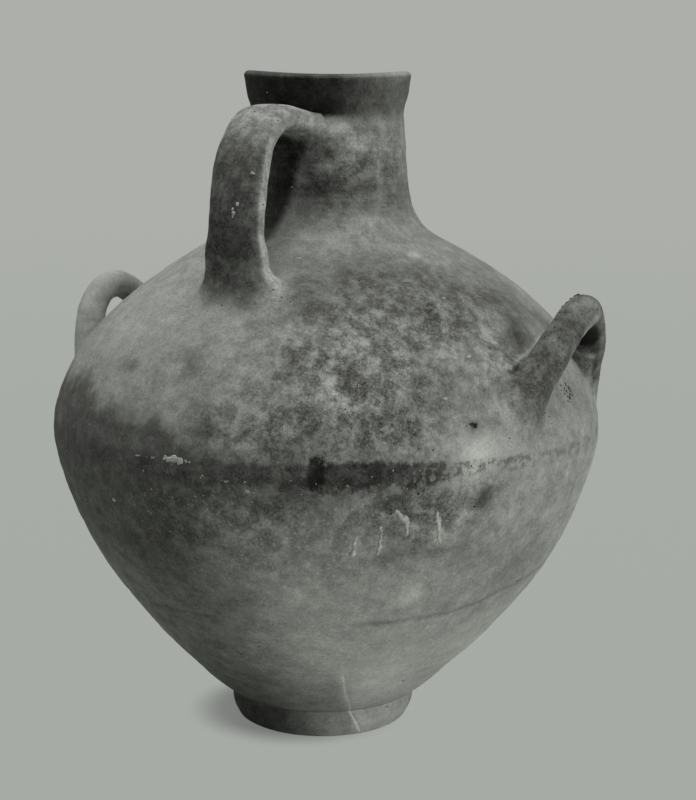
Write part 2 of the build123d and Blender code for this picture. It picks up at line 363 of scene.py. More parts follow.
# On the bowl, below the widest part
bowl_tones = [
    (-70, 76, 16, 10, 12), (-70, 112, 22, 50, 9), (-66, 79, 16, 7, 14), (-66, 118, 20, 24, 12),
    (-44, 50, 26, 16, -12), (-44, 150, 22, 10, -14), (-38, 36, 26, 10, -8),
    (-38, 74, 24, 20, -10), (-30, 168, 26, 18, -10), (-24, 20, 24, 5, 6), (-24, 52, 16, 12, -14),
    (-24, 172, 12, 14, -9), (-22, 120, 14, 8, -8), (-22, 160, 24, 22, 12), (-20, 178, 24, 12, 14),
    (-15, 76, 10, 8, -10), (-15, 146, 12, 4, 16), (-10, 193, 20, 9, -16), (-8, 26, 26, 8, 10),
    (-8, 92, 30, 24, 12), (-8, 134, 22, 16, 16), (-8, 195, 9, 6, -12), (-6, 32, 20, 8, -12),
    (-6, 62, 26, 12, 6), (-6, 120, 30, 24, 4), (-3, 202, 36, 7, -24), (-1.5, 86.5, 20, 14, 5),
    (0, 70, 26, 18, 8), (2, 45, 14, 14, -14), (2, 78, 24, 16, 8), (6, 180, 20, 12, -14),
    (8, 52, 22, 12, 8), (8, 108, 44, 32, 8), (10, 26, 20, 7, 10), (10, 154, 12, 5, -10),
    (12, 195, 9, 7, -34), (12, 205, 5, 6, 8), (14, 40, 20, 14, 10), (14, 50, 40, 22, 12),
    (14, 108, 15, 3.2, -12), (14, 172, 14, 10, -14), (14, 200, 22, 7, -22), (14, 206, 5, 8, 8),
    (16, 62, 26, 18, 18), (16, 164, 14, 9, -9), (17, 186, 9, 5, -22), (18, 118, 12, 3, -12),
    (18, 167, 20, 8, -12), (18.7, 128, 11, 8, 38), (20, 197, 9, 8, -26), (20, 198, 5, 5, 12),
    (21, 160, 24, 4.5, -26), (22, 82.5, 24, 16, 5), (24, 94, 30, 16, 4), (24, 196, 8, 6, 12),
    (24.5, 125, 4, 9, -16), (28, 62, 22, 16, 8), (28, 209, 13, 5, 34), (30, 163, 12, 8, -8),
    (31.5, 192, 6, 6, -54), (32, 150, 16, 10, -14), (33.5, 198, 7, 3.5, -36), (38, 88, 24, 14, 6),
    (40, 56, 10, 3, -12), (42, 38, 56, 24, 30), (46, 46, 14, 9, -10), (46.3, 87.3, 26, 18, 8),
    (50, 140, 34, 16, -20), (50, 182, 24, 12, -6), (58, 72, 34, 20, 18), (60, 66, 34, 16, 8),
    (62, 95, 26, 24, 8), (70, 150, 24, 30, 4),
]
# On the shoulder, up to the root of the neck
shoulder_tones = [
    (-74, 226, 16, 12, 14), (-64.4, 256.1, 6, 8, -8), (-62, 295, 95, 42, 10),
    (-51, 266, 5, 5, -12), (-48, 266, 6, 5, -24), (-47.5, 267.1, 5, 4, -18),
    (-46, 320, 10, 5, -22), (-44, 236, 40, 16, 4), (-39, 272, 7, 9, -12), (-36, 262, 8, 5, -6),
    (-34, 278, 4, 4, -14), (-32.2, 267.6, 4, 5, -8), (-31, 270, 7, 9, -28),
    (-30.9, 274.1, 6, 8, -12), (-26, 230, 10, 7, 8), (-26, 286.7, 16, 12, 5),
    (-24, 216, 10, 4, 12), (-24, 237, 9, 5, -16), (-24, 322, 10, 8, 16),
    (-23.9, 239.4, 6, 5, -10), (-22, 236, 7, 5, -14), (-22, 308, 11, 5, -20),
    (-20, 296, 7, 3, -16), (-16.9, 313.7, 5.5, 9, 20), (-15.8, 311.7, 9, 9, 16),
    (-15, 342.1, 14, 6, 6), (-14, 280, 12, 8, 8), (-12, 230, 6, 7, -24), (-11, 225, 4, 5, -14),
    (-10, 226, 6, 5, -14), (-10, 244, 5, 4, -18), (-10, 272, 8, 5, -12), (-9.9, 317.9, 5, 6, -8),
    (-8, 277, 15, 9, -14), (-7, 288, 10, 5, -8), (-6.9, 307.9, 8, 8, -18), (-5, 228, 6, 5, -10),
    (-5, 302, 24, 8, -14), (-4, 218, 5, 6, 18), (-3, 218, 4, 7, 20), (-2, 256, 9, 4, 14),
    (-2, 282.5, 9, 7, -12), (-1, 238, 8, 6, -12), (0, 305, 14, 6, -12), (0, 341, 120, 7, 6),
    (0.6, 256.6, 13, 11, 16), (0.7, 271.9, 7, 6, 8), (2, 286, 14, 4, 9), (2, 312, 24, 9, -7),
    (3, 252, 7, 3.5, 15), (3, 264, 5, 5, -20), (3, 271, 12, 9, -18), (3.6, 259.4, 10, 4, 12),
    (4, 234, 34, 22, -14), (5, 262, 9, 4, -14), (5.3, 271.9, 9, 7, -12), (8, 248, 7, 5, -16),
    (8.5, 261, 5, 5, 14), (9, 257, 7, 6, 8), (10, 245, 28, 7, -8), (10.1, 294.1, 10, 6, -8),
    (12, 239, 10, 5, 10), (12, 250, 16, 10, -10), (13, 260, 5, 8, -12), (14, 238, 5, 6, 16),
    (14, 322, 62, 13, -30), (16, 235, 8, 7, -14), (16, 290, 10, 5, -18), (17, 285, 6, 4, -14),
    (18, 262, 24, 22, -12), (18.2, 244.1, 12, 10, -6), (22, 239, 11, 7, 8), (22, 268, 18, 8, -14),
    (22, 303, 12, 6, -18), (25, 303, 16, 5, -20), (26, 278, 6, 4, 10), (27, 219, 14, 6, 12),
    (29.5, 238, 2.2, 2.6, -70), (30, 224, 18, 10, 36), (32, 253, 16, 16, -14),
    (33.1, 234.7, 14, 12, -7), (34, 304, 46, 20, -22), (35, 242, 12, 9, 8),
    (39.8, 333, 4, 1.5, 26), (40, 284, 18, 13, 6), (42, 247, 9, 8, -16), (44, 262, 12, 9, -24),
    (45.8, 261, 7, 6, -26), (46.5, 250, 9, 12, -14), (47, 240, 6, 10, -18), (47, 266, 10, 4, -18),
    (47, 273, 10, 6, -14), (47.1, 294.7, 14, 10, 20), (48, 254, 6, 12, -16),
    (48, 304, 14, 6, -10), (49.4, 266, 7, 3, -12), (50, 247, 8, 8, -14), (50, 282, 13, 4, -26),
    (53, 268, 6, 6, -14), (53, 297, 9, 8, -12), (53.2, 283.2, 7, 7, -26), (56, 291, 9, 4, -14),
    (56, 292, 5, 8, -12), (58, 312, 34, 16, -10), (60, 226, 24, 10, 10), (60, 278, 14, 7, -14),
    (60, 306, 30, 6, -18), (60.5, 285.3, 6, 6, 8), (66.5, 283.4, 7, 7, 18), (76, 250, 20, 20, 6),
    (76, 256, 9, 7, -20),
]
# On the neck and its collar
neck_tones = [
    (-58, 388, 20, 34, 30), (-16.4, 415.9, 8, 4, -14), (-10, 398, 8, 10, -20),
    (-8, 357, 14, 5, -8), (-8, 380, 16, 26, -12), (-6, 424, 6, 2.6, -40), (-3, 367, 20, 6, -16),
    (-2.2, 403.9, 7, 4, -14), (-2, 384, 12, 20, -24), (-1, 416, 9, 5, 30), (2, 414.2, 9, 4, 18),
    (4, 417, 9, 5, 18), (4.9, 410, 7, 4, 16), (5, 400, 12, 8, -14), (6, 411, 5, 3, 14),
    (8, 375, 34, 8, -34), (13, 414.8, 5, 4, 18), (14.4, 411, 6, 5, 18), (16, 419, 8, 3, -8),
    (17.1, 393, 6, 5, 14), (22, 391, 14, 9, -18), (23, 403, 6, 5, 14), (23, 417.4, 4, 3, 12),
    (34, 400, 16, 8, 10), (34, 401, 10, 9, 2), (36, 384, 26, 16, 4), (37.8, 344.5, 14, 6, -6),
    (42.2, 401, 10, 7, 16), (44, 362, 30, 8, -10), (52, 345, 30, 8, -10), (56, 380, 22, 18, -18),
    (57.1, 367.8, 9, 5, -10), (60, 352, 30, 10, -6),
]
# On the side that the photograph doesn't show: few, large and calm
far_side_tones = [
    (-165, 260, 60, 30, -14), (-150, 60, 50, 30, -10), (-140, 9, 60, 14, -28),
    (-140, 170, 50, 30, -8), (-120, 280, 60, 30, 6), (-120, 380, 50, 25, -35),
    (100, 60, 40, 30, 6), (100, 370, 40, 10, -20), (120, 9, 60, 14, -26), (120, 300, 50, 24, -16),
    (130, 150, 60, 40, -16), (150, 215, 30, 14, 10), (150, 385, 60, 22, -25),
    (170, 320, 60, 14, -20), (180, 90, 60, 40, -10),
]
wall_tones = foot_tones + bowl_tones + shoulder_tones + neck_tones + far_side_tones
print(len(wall_tones), "paler or darker places")

# %% Where the smoke stain, the dark band and the mottling lie
# The upper border of the smoke stain on the left, as (angle, height)
stain_border = [
    (-180, 190), (-150, 205), (-120, 235), (-95, 248), (-74.8, 246), (-63.4, 254), (-54.4, 241),
    (-47.2, 242.6), (-42.2, 238.6), (-36, 239.5), (-32, 234.7), (-25.7, 229.6), (-18.7, 225.7),
    (-14.5, 219.6), (0, 219), (30, 205), (60, 180), (180, 190),
]
# The dark band round the widest part: angle, upper and lower edge, steps darker, how whole
band_edges = [
    (-180, 215, 206, 26, 0.35), (-120, 215, 206, 20, 0.5), (-75, 217, 205, 6, 1.2),
    (-41, 218, 204, 8, 1.2), (-20, 219.2, 204, 20, 1.2), (-8, 219.6, 204, 46, 1.2),
    (-3.4, 220, 205, 58, 1.2), (0.7, 220.9, 204.2, 74, 1.3), (9, 221.3, 204.2, 76, 1.3),
    (12, 220.3, 204.4, 74, 1), (18, 219.3, 205, 70, 0.78), (22, 218.8, 206.5, 62, 0.6),
    (26.5, 217.8, 211, 60, 0.5), (32, 217, 212.4, 50, 0.38), (38, 216.8, 211.4, 60, 0.6),
    (44.2, 216.3, 210.9, 44, 0.42), (51.3, 215.4, 209, 36, 0.45), (64.7, 215.2, 208, 30, 0.45),
    (90, 215, 207, 24, 0.35), (180, 215, 206, 26, 0.35),
]
# Collar soot by angle: near black on the left and in front, rubbed thin on the right
collar_soot = [
    (-180, 60), (-120, 72), (-90, 104), (2, 104), (12, 88), (20, 66), (45, 50), (70, 40),
    (120, 50), (180, 60),
]
# How mottled: angle, height, half width, half height, amount
mottled = [
    (4, 262, 56, 36, 0.85), (20, 302, 60, 24, 0.4), (-15, 236, 34, 16, 0.5),
    (12, 236, 30, 12, 0.4), (20, 188, 40, 20, 0.7), (-16, 185, 60, 30, 0.45),
    (44, 262, 24, 24, 0.6), (14, 392, 36, 24, 0.6), (34, 300, 30, 20, 0.3),
    (150, 280, 70, 40, 0.7), (-160, 300, 60, 30, 0.5), (-56, 290, 60, 30, -0.1),
    (46, 60, 90, 50, -0.2), (34, 224, 26, 9, -0.4),
]
# How streaked along the wheel's turn, in the same order
streaked = [
    (20, 312, 70, 22, 0.3), (0, 385, 400, 34, 1), (55, 180, 60, 60, 0.15),
    (-40, 150, 60, 80, 0.15), (-12, 95, 70, 55, 0.3),
]
# How dusted with pale specks, in the same order
dusted = [
    (-30, 195, 60, 30, 1), (-10, 160, 50, 30, 0.8), (10, 190, 40, 20, 0.7),
    (-20, 70, 50, 40, 0.5), (170, 190, 80, 40, 0.6),
]


# %% Tones that follow the jar's form
# Steps paler or darker: the neck and its root, the strap's shadow painted onto the neck behind it,
# the rubbed lip
neck_shade, neck_root_pale, strap_painted_shadow, lip_rubbed = -6, 7, 96, 46
# The crack's filling, the dust on its right and the shade on its left
crack_fill, crack_dust, crack_shade = 58, 10, 14
# The wash beside the lime runs, painted shade in the crease at the foot's joint and in the turned
# grooves, and a painted highlight on the ridge
lime_wash, joint_shade, line_shade, ridge_highlight = 14, -3, 22, 50
# The border between the bare neck and the strap's painted shadow, next to the strap, as heights
# and angles
strap_shadow_border = [336, 407, 421], [-36, -14, -12]
# The foot's face from its edge up to the joint, as heights and steps; the darker steps near the
# joint are painted shade under the body
foot_face_tone = [2, 8, 14, 19], [18, 10, -8, -12]


def form_tone(theta, height):
    """Tones of the neck, the collar, the lip and the foot, in steps, with the strap's shadow
    painted onto the neck and painted shade in the crease at the foot's joint.

    The numbers of each smoothstep are heights in millimetres or angles in degrees."""
    angle = from_camera(theta)
    tone = neck_shade * smoothstep(345, 365, height)
    tone = tone + neck_root_pale * smoothstep(340, 346, height) * smoothstep(362, 350, height)
    # Painted shadow: the strap's shadow on the neck, darkened into the clay's tone.
    past_strap = angle - np.interp(height, *strap_shadow_border)
    in_strap_shadow = smoothstep(4, -5, past_strap) * smoothstep(-78, -66, angle)
    tone = tone - strap_painted_shadow * in_strap_shadow * smoothstep(334, 344, height) * smoothstep(423, 420, height)
    soft = np.interp(angle, [11, 30], [1.5, 6.0])
    tone -= np.interp(angle, *zip(*collar_soot)) * smoothstep(-soft, soft, height - 422)
    tone += lip_rubbed * smoothstep(446.2, 448.8, height)
    # Painted shade in the crease where the body meets the foot, just above the joint and on the
    # foot's face below it.
    above_joint = joint_shade * smoothstep(24, 20.5, height)
    return tone + np.where(height < 19.8, np.interp(height, *foot_face_tone), above_joint)


def line_tone(theta, height):
    """Tones of the crack, the turned lines and the wash beside the lime runs, in steps, with
    painted shade in the grooves and a painted highlight on the ridge.
    """
    tone = crack_fill * upright_line(theta, height, foot_crack, 0.75)
    tone += crack_dust * upright_line(theta, height, foot_crack[:4], 6.0, aside=6.0)
    tone -= crack_shade * upright_line(theta, height, foot_crack, 7.0, aside=-7.0)
    for points in lime_runs[:-1]:
        upward = [point[:2] for point in points[::-1]]
        tone += lime_wash * upright_line(theta, height, upward, 2.6)
    *grooves, lit_ridge = turned_lines
    # Painted shade darkens the grooves, and a painted highlight lights the ridge.
    for points, half_height, amount in grooves:
        tone += line_shade * amount * level_line(theta, height, points, half_height * 0.8)
    return tone + ridge_highlight * level_line(theta, height, lit_ridge[0], 1.3)


# %% All the surface numbers
# How much darker the stain and the tab of soot are, in steps
stain_steps, tab_steps = 56, 34
# The tab hangs down from the band. Its half sizes are in mm.
tab_angle, tab_level, tab_half_width, tab_half_height, tab_depth = -1.8, 214.8, 5.2, 12, 7


def marks(theta, height):
    """The surface numbers of the wall at a place, tones in steps of 1/255."""
    angle = from_camera(theta)
    tone = tally(theta, height, wall_tones) + form_tone(theta, height) + line_tone(theta, height)
    stain_in = np.interp(angle, *zip(*stain_border)) - height
    stain_depth = stain_steps * smoothstep(-2, -36, angle) * smoothstep(-176, -120, angle)
    bowl, belly = smoothstep(45, 120, height), smoothstep(120, 165, height)
    stain_by_height = 0.34 + 0.36 * bowl + 0.3 * belly
    stops, tops, bottoms, darker, whole = zip(*band_edges)
    below_top = np.interp(angle, stops, tops) - height
    above_bottom = 0.4 * (height - np.interp(angle, stops, bottoms))
    aside = np.radians(angle - tab_angle) * wall_radius(belly_seam) / tab_half_width
    up = (height - tab_level) / tab_half_height
    tab = tab_depth * (1 - (aside**4 + up**4) ** 0.25)
    band_depth = np.interp(angle, stops, darker) + tab_steps * smoothstep(-1.0, 1.0, tab)
    values = {
        "tone": tone / 255,
        "stain": np.clip(stain_in, -30, 30),
        "stain_depth": stain_depth * stain_by_height / 255,
        "band": np.clip(np.maximum(np.minimum(below_top, above_bottom), tab), -6, 6),
        "band_depth": band_depth / 255,
        "band_whole": np.interp(angle, stops, whole),
        "mottle": np.clip(0.25 + tally(theta, height, mottled), 0, 1.2),
        "streak": np.clip(0.05 + tally(theta, height, streaked), 0, 1),
        "dust": np.clip(0.25 + tally(theta, height, dusted), 0, 1.2),
    }
    shape = np.broadcast(theta, height).shape
    return {key: np.broadcast_to(numbers, shape) for key, numbers in values.items()}


print("marks:", sorted(marks(np.zeros((1, 1)), np.full((1, 1), 200.0))))

# %% [markdown]
# Building a closed skin
#
# A potter's section is a closed form: its outer face, its rim and its inner face. Here
# each is a grid of points, swept round the axis, that closes on itself or ends in a pole.
# The mesh is made from arrays in one go, because tens of thousands of points are slow to
# add one at a time.

# %% Mesh helpers
sharp_from = math.radians(42)


def keep_marks(mesh, values):
    """Writes the surface numbers on a mesh, one per point. Poles take the last number."""
    for key, numbers in values.items():
        numbers = np.asarray(numbers, float).ravel()
        numbers = np.r_[numbers, np.full(len(mesh.vertices) - len(numbers), numbers[-1])]
        attribute = mesh.attributes.new(key, "FLOAT", "POINT")
        attribute.data.foreach_set("value", numbers.astype(np.float32))


def plain_piece(name, mesh):
    """A smooth-shaded object at the origin that holds the mesh."""
    mesh.polygons.foreach_set("use_smooth", [True] * len(mesh.polygons))
    return put(name, mesh)


def clay_piece(name, mesh, values):
    """A plain piece with its surface numbers, and with its sharp edges kept."""
    keep_marks(mesh, values)
    piece = plain_piece(name, mesh)
    mesh.set_sharp_from_angle(angle=sharp_from)
    return piece


def grid_mesh(name, rows, closed_rows, poles, values):
    """A grid of points, closed round its columns, as one mesh object with surface numbers."""
    rows = np.asarray(rows, float)
    count, columns = rows.shape[:2]
    points = rows.reshape(-1, 3)
    index = np.arange(count * columns).reshape(count, columns)
    below, over = (index, np.roll(index, -1, 0)) if closed_rows else (index[:-1], index[1:])
    faces = np.stack([below, np.roll(below, -1, 1), np.roll(over, -1, 1), over], -1)
    faces = faces.reshape(-1, 4).tolist()
    for end, pole in enumerate(poles):
        points = np.vstack([points, pole])
        ring = index[-1] if end else index[0]
        centre = len(points) - 1
        for one, two in zip(ring.tolist(), np.roll(ring, -1).tolist()):
            faces.append([one, two, centre] if end else [two, one, centre])
    mesh = bpy.data.meshes.new(name)
    mesh.from_pydata((points * MM).tolist(), [], faces)
    triangles = np.array([f[:3] for f in faces])
    quads = np.array([[f[0], f[2], f[3]] for f in faces if len(f) == 4])
    corners = points[np.vstack([triangles, quads])]
    across = np.cross(corners[:, 1], corners[:, 2])
    volume = np.einsum("ij,ij->i", corners[:, 0], across).sum() / 6
    if volume < 0:
        mesh.flip_normals()
    print(name, len(mesh.vertices), "points,", round(abs(volume) / 1e6, 3), "litres of clay")
    return clay_piece(name, mesh, values)


# %% Turned forms
def turned(name, profile, columns, skin_rows, closed, poles=()):
    """Sweep a profile round the axis. Rows listed as skin follow the finished outer wall."""
    theta = np.linspace(0, 360, columns, endpoint=False)[None]
    radius, height = profile[:, :1], profile[:, 1:]
    rows = stand(theta, radius + 0 * theta, height + 0 * theta)
    skin = np.zeros(len(profile), bool)
    skin[skin_rows] = True
    proud = relief(theta, height[skin])
    rows[skin] = stand(theta, radius[skin] + proud, height[skin] + 0 * theta)
    return grid_mesh(name, rows, closed, poles, marks(theta, height))


def inset(points, depth):
    """The outline moved inward, square to itself."""
    along = np.gradient(points, axis=0)
    along /= np.linalg.norm(along, axis=1)[:, None]
    return points + np.column_stack([-along[:, 1], along[:, 0]]) * depth


# %% [markdown]
# The bowl and the shoulder
#
# The lower half of the body was thrown first, as a wide bowl, and the shoulder was thrown
# onto its rim. Their skins carry most of the detail, so their rows lie under two
# millimetres apart, while the inside, which only shows through the mouth, is coarse.

# %% Bowl and shoulder
body_columns, neck_columns = 600, 400
skin_line = smooth_line(body_outline, 0.25)
heights = skin_line[:, 1]
lower_skin = smooth_line(skin_line[heights <= belly_seam][::12], 1.97)
lower_skin[-1] = wall_radius(belly_seam), belly_seam
inner_line = inset(smooth_line(body_outline, 6.0), wall)
lower_inner = inner_line[(inner_line[:, 1] > 32) & (inner_line[:, 1] < belly_seam - 3)]
rim_inner = [[wall_radius(belly_seam) - wall, belly_seam]]
# The inside of the floor, and the boss that stands in the foot's socket
floor_height, boss_height, boss_radius = 24.5, 14.0, 46.0
lower_profile = np.vstack(
    [
        [[boss_radius, boss_height], [boss_radius, 20.0], [64.0, 20.0]],
        lower_skin,
        rim_inner,
        lower_inner[::-1],
        [[52.0, floor_height + 1.0], [30.0, floor_height], [8.0, floor_height]],
    ]
)
# The poles lie where the leaning axis stands at the foot
pole_shift = -1.6 * camera_right
lower_body = turned(
    "Lower_body", lower_profile, body_columns, np.arange(3, 3 + len(lower_skin)), False,
    poles=(pole_shift + sky * boss_height, pole_shift + sky * floor_height),
)

upper_skin = smooth_line(skin_line[(heights >= belly_seam) & (heights <= neck_seam)][::10], 1.6)
upper_skin[0] = wall_radius(belly_seam), belly_seam
upper_skin[-1] = wall_radius(neck_seam), neck_seam
upper_inner = inner_line[(inner_line[:, 1] > belly_seam + 3) & (inner_line[:, 1] < neck_seam - 4)]
seam_inner = [(wall_radius(neck_seam) - wall - 1.5, neck_seam)]
upper_profile = np.vstack([upper_skin, seam_inner, upper_inner[::-1], rim_inner])
upper_body = turned("Upper_body", upper_profile, body_columns, np.arange(len(upper_skin)), True)

# %% [markdown]
# The neck
#
# The neck was thrown last, with a collar that stands out a little under a flat lip. Its
# upper edge is rounded by the potter's wet finger, so the profile turns over there in small
# steps.

# %% Neck and mouth
neck_skin = smooth_line(skin_line[heights >= neck_seam][::8], 1.1)
neck_skin[0] = wall_radius(neck_seam), neck_seam
lip_outside = [(51.5, 424.2), (52.3, 428), (53.6, 432), (54.5, 436), (55.2, 440), (55.8, 444)]
lip_round = [
    (53.0 + 3.2 * math.cos(t), 446.8 + 3.2 * math.sin(t)) for t in np.radians(range(0, 91, 15))
]
mouth_inside = [
    (50.6, 450), (48.4, 449.4), (47.2, 448.2), (46.6, 446.6), (45.2, 442), (44.1, 437.5),
    (43.6, 430),
]
bore = [(43.5, z) for z in range(422, 366, -6)]
root_inside = [(44.6, 360), (47.5, 352), *seam_inner]
neck_profile = np.vstack([neck_skin, lip_outside, lip_round, mouth_inside, bore, root_inside])
# The thrown relief runs on over the collar and the first half of the lip's round
rough_rows = np.arange(len(neck_skin) + 9)
neck_and_mouth = turned("Neck_and_mouth", neck_profile, neck_columns, rough_rows, True)

# %% [markdown]
# Shader and geometry trees
#
# Geometry Nodes and shaders are both node trees. One helper adds a node of any kind, sets
# its properties and fills its inputs, either with a value or with a link from another
# node's output. A tree then reads as a short recipe.

# %% Tree helpers
def add_node(tree, kind, inputs=None, **settings):
    """Adds a node, sets its properties, and links or sets its inputs by name or number."""
    node = tree.nodes.new(kind)
    for key, value in settings.items():
        setattr(node, key, value)
    for key, value in (inputs or {}).items():
        socket = node.inputs[key]
        if isinstance(value, bpy.types.NodeSocket):
            tree.links.new(value, socket)
        else:
            socket.default_value = value
    return node


def new_geometry_tree(name, inputs):
    """An empty Geometry Nodes tree with named inputs, given as name to kind of socket."""
    tree = bpy.data.node_groups.new(name, "GeometryNodeTree")
    for title, kind in {"Geometry": "Geometry", **inputs}.items():
        tree.interface.new_socket(title, in_out="INPUT", socket_type="NodeSocket" + kind)
    tree.interface.new_socket("Geometry", in_out="OUTPUT", socket_type="NodeSocketGeometry")
    return tree, tree.nodes.new("NodeGroupInput").outputs


def grow(tree, start, values):
    """The mesh that a tree makes from a start mesh. Inputs are set by their identifiers."""
    holder = put("start", start)
    modifier = holder.modifiers.new("grow", "NODES")
    modifier.node_group = tree
    for item in tree.interface.items_tree:
        if item.in_out == "INPUT" and item.name in values:
            modifier[item.identifier] = values[item.name]
    made = holder.evaluated_get(bpy.context.evaluated_depsgraph_get())
    mesh = bpy.data.meshes.new_from_object(made)
    holder.modifiers.remove(modifier)
    bpy.data.objects.remove(holder)
    return mesh


# %% The end and the start of a tree
def end_tree(tree, geometry, finish):
    """The end of every geometry tree here: made real, given its finish, and put out."""
    real = add_node(tree, "GeometryNodeRealizeInstances", {"Geometry": geometry})
    done = add_node(
        tree, "GeometryNodeSetMaterial", {"Geometry": real.outputs[0], "Material": finish}
    )
    add_node(tree, "NodeGroupOutput", {"Geometry": done.outputs[0]})


def bare_tree(owner):
    """The emptied node tree of a material or of the world."""
    owner.use_nodes = True
    owner.node_tree.nodes.clear()
    return owner.node_tree


# The three finishes are filled in later
clay = bpy.data.materials.new("Fired_clay_unglazed_smoked")
lime = bpy.data.materials.new("Lime_crust")
char = bpy.data.materials.new("Charred_grit")
print("finishes:", clay.name, lime.name, char.name)

# %% [markdown]
# The foot
#
# The foot is a separate thrown ring, luted under the bowl. It is a plain rule: one small
# section, turned round a circle. Geometry Nodes say such a rule well. The tree takes the
# section as a wire, sweeps it round a circle of a named radius, and swells the face by a
# noise of a named size, because a hand-thrown ring is never even.

# %% Section of the foot
# The ring's section as radius and height in mm: its face, its sole and its socket
foot_radius, foot_steps = 55.0, 360
face_points = [
    (60.9, 3.0), (62.6, 6.0), (63.7, 9.5), (64.1, 12.5), (64.1, 15.5), (64.0, 18.2), (63.9, 19.4),
]
sole = [
    (46.6, 14.0), (46.6, 8.0), (46.6, 2.6), (47.4, 0.8), (49.2, 0.0), (53.0, 0.0), (57.4, 0.0),
    (58.7, 0.25), (59.8, 1.0), (60.5, 2.0),
]
socket = [(63.6, 20.0), (62.0, 20.0), (60.0, 20.0), (57.6, 20.0), (57.6, 14.0)]
foot_section = [*sole, *smooth_line(face_points, 1.0).tolist(), *socket]
foot_swell, foot_swell_size = 1.3 * MM, 26 * MM
# Only the outer face is uneven: nothing moves within the first radius, all beyond the second
face_from, face_to = 58 * MM, 61 * MM
print("foot section of", len(foot_section), "points")

# %% Foot ring by Geometry Nodes
foot_tree, given = new_geometry_tree(
    "Swept_foot_ring",
    {
        "Ring radius": "Float", "Steps round": "Int", "Swell": "Float", "Swell size": "Float",
        "Finish": "Material",
    },
)
circle = add_node(
    foot_tree, "GeometryNodeCurvePrimitiveCircle",
    {"Resolution": given["Steps round"], "Radius": given["Ring radius"]},
)
wire = add_node(foot_tree, "GeometryNodeMeshToCurve", {"Mesh": given["Geometry"]})
ring = add_node(
    foot_tree, "GeometryNodeCurveToMesh",
    {"Curve": circle.outputs["Curve"], "Profile Curve": wire.outputs["Curve"]},
)
pace = add_node(foot_tree, "ShaderNodeMath", {0: 1.0, 1: given["Swell size"]}, operation="DIVIDE")
unevenness = add_node(foot_tree, "ShaderNodeTexNoise", {"Scale": pace.outputs[0], "Detail": 1.0})
centred = add_node(
    foot_tree, "ShaderNodeMath", {0: unevenness.outputs["Fac"], 1: 0.5}, operation="SUBTRACT"
)
place = add_node(foot_tree, "GeometryNodeInputPosition").outputs[0]
flat = add_node(
    foot_tree, "ShaderNodeVectorMath", {0: place, 1: (1.0, 1.0, 0.0)}, operation="MULTIPLY"
)
reach = add_node(foot_tree, "ShaderNodeVectorMath", {0: flat.outputs[0]}, operation="LENGTH")
outside = add_node(
    foot_tree, "ShaderNodeMapRange",
    {"Value": reach.outputs["Value"], "From Min": face_from, "From Max": face_to},
)
outward = add_node(foot_tree, "ShaderNodeVectorMath", {0: flat.outputs[0]}, operation="NORMALIZE")
amount = add_node(
    foot_tree, "ShaderNodeMath", {0: centred.outputs[0], 1: given["Swell"]}, operation="MULTIPLY"
)
masked = add_node(
    foot_tree, "ShaderNodeMath", {0: amount.outputs[0], 1: outside.outputs["Result"]},
    operation="MULTIPLY",
)
move = add_node(
    foot_tree, "ShaderNodeVectorMath", {0: outward.outputs[0], "Scale": masked.outputs[0]},
    operation="SCALE",
)
swelled = add_node(
    foot_tree, "GeometryNodeSetPosition",
    {"Geometry": ring.outputs["Mesh"], "Offset": move.outputs[0]},
)
end_tree(foot_tree, swelled.outputs[0], given["Finish"])

# %% Grow the foot
section_wire = bpy.data.meshes.new("Foot_section")
edges = [(i, (i + 1) % len(foot_section)) for i in range(len(foot_section))]
corners = [((r - foot_radius) * MM, -z * MM, 0) for r, z in foot_section[::-1]]
section_wire.from_pydata(corners, edges, [])
foot_mesh = grow(
    foot_tree, section_wire,
    {
        "Ring radius": foot_radius * MM, "Steps round": foot_steps, "Swell": foot_swell,
        "Swell size": foot_swell_size, "Finish": clay,
    },
)

# %% The foot's dents, its crack and its lean
foot_points = np.empty(len(foot_mesh.vertices) * 3, np.float32)
foot_mesh.vertices.foreach_get("co", foot_points)
foot_points = foot_points.reshape(-1, 3).astype(float) / MM
foot_theta = own_angle(foot_points)
foot_height = np.clip(foot_points[:, 2], 0, 20)
pressed = tally(foot_theta, foot_height, [dent for dent in dents if dent[1] < 19])
pressed -= 0.5 * upright_line(foot_theta, foot_height, foot_crack, 1.0)
outer_face = smoothstep(
    face_from / MM, face_to / MM, np.hypot(foot_points[:, 0], foot_points[:, 1])
)
foot_points += round_place(foot_theta, pressed * outer_face, 0 * foot_height)
foot_points += wander(foot_height)
foot_mesh.vertices.foreach_set("co", (foot_points * MM).astype(np.float32).ravel())
foot_ring = clay_piece("Foot_ring", foot_mesh, marks(foot_theta, foot_height))
print("Foot_ring", len(foot_mesh.vertices), "points")

# %% [markdown]
# The handles
#
# A handle is a roll or strap of clay, bent and pressed on while soft. The thumb smears
# its ends out over the wall, so a handle never meets the pot at a sharp corner. Each one
# is a swept grid here: rings along a bent line, and at both ends a few more rings that
# curve out and run flush into the wall.

# %% Sweep helpers
def wall_frame(points):
    """Points as angle, height and radius about the leaning axis, and the lean itself."""
    height = np.clip(points[..., 2], 21, 423)
    shift = wander(height)
    flat = points - shift
    return own_angle(flat), height, np.hypot(flat[..., 0], flat[..., 1]), shift


def wall_gap(points):
    """How far outside the finished wall each point is, in millimetres."""
    theta, height, radius, _ = wall_frame(points)
    return radius - wall_radius(height) - relief(theta, height)


def onto_wall(points, lift):
    """The points moved level to just above or below the finished wall."""
    theta, height, _, shift = wall_frame(points)
    radius = wall_radius(height) + relief(theta, height) + lift
    return round_place(theta, radius, height) + shift


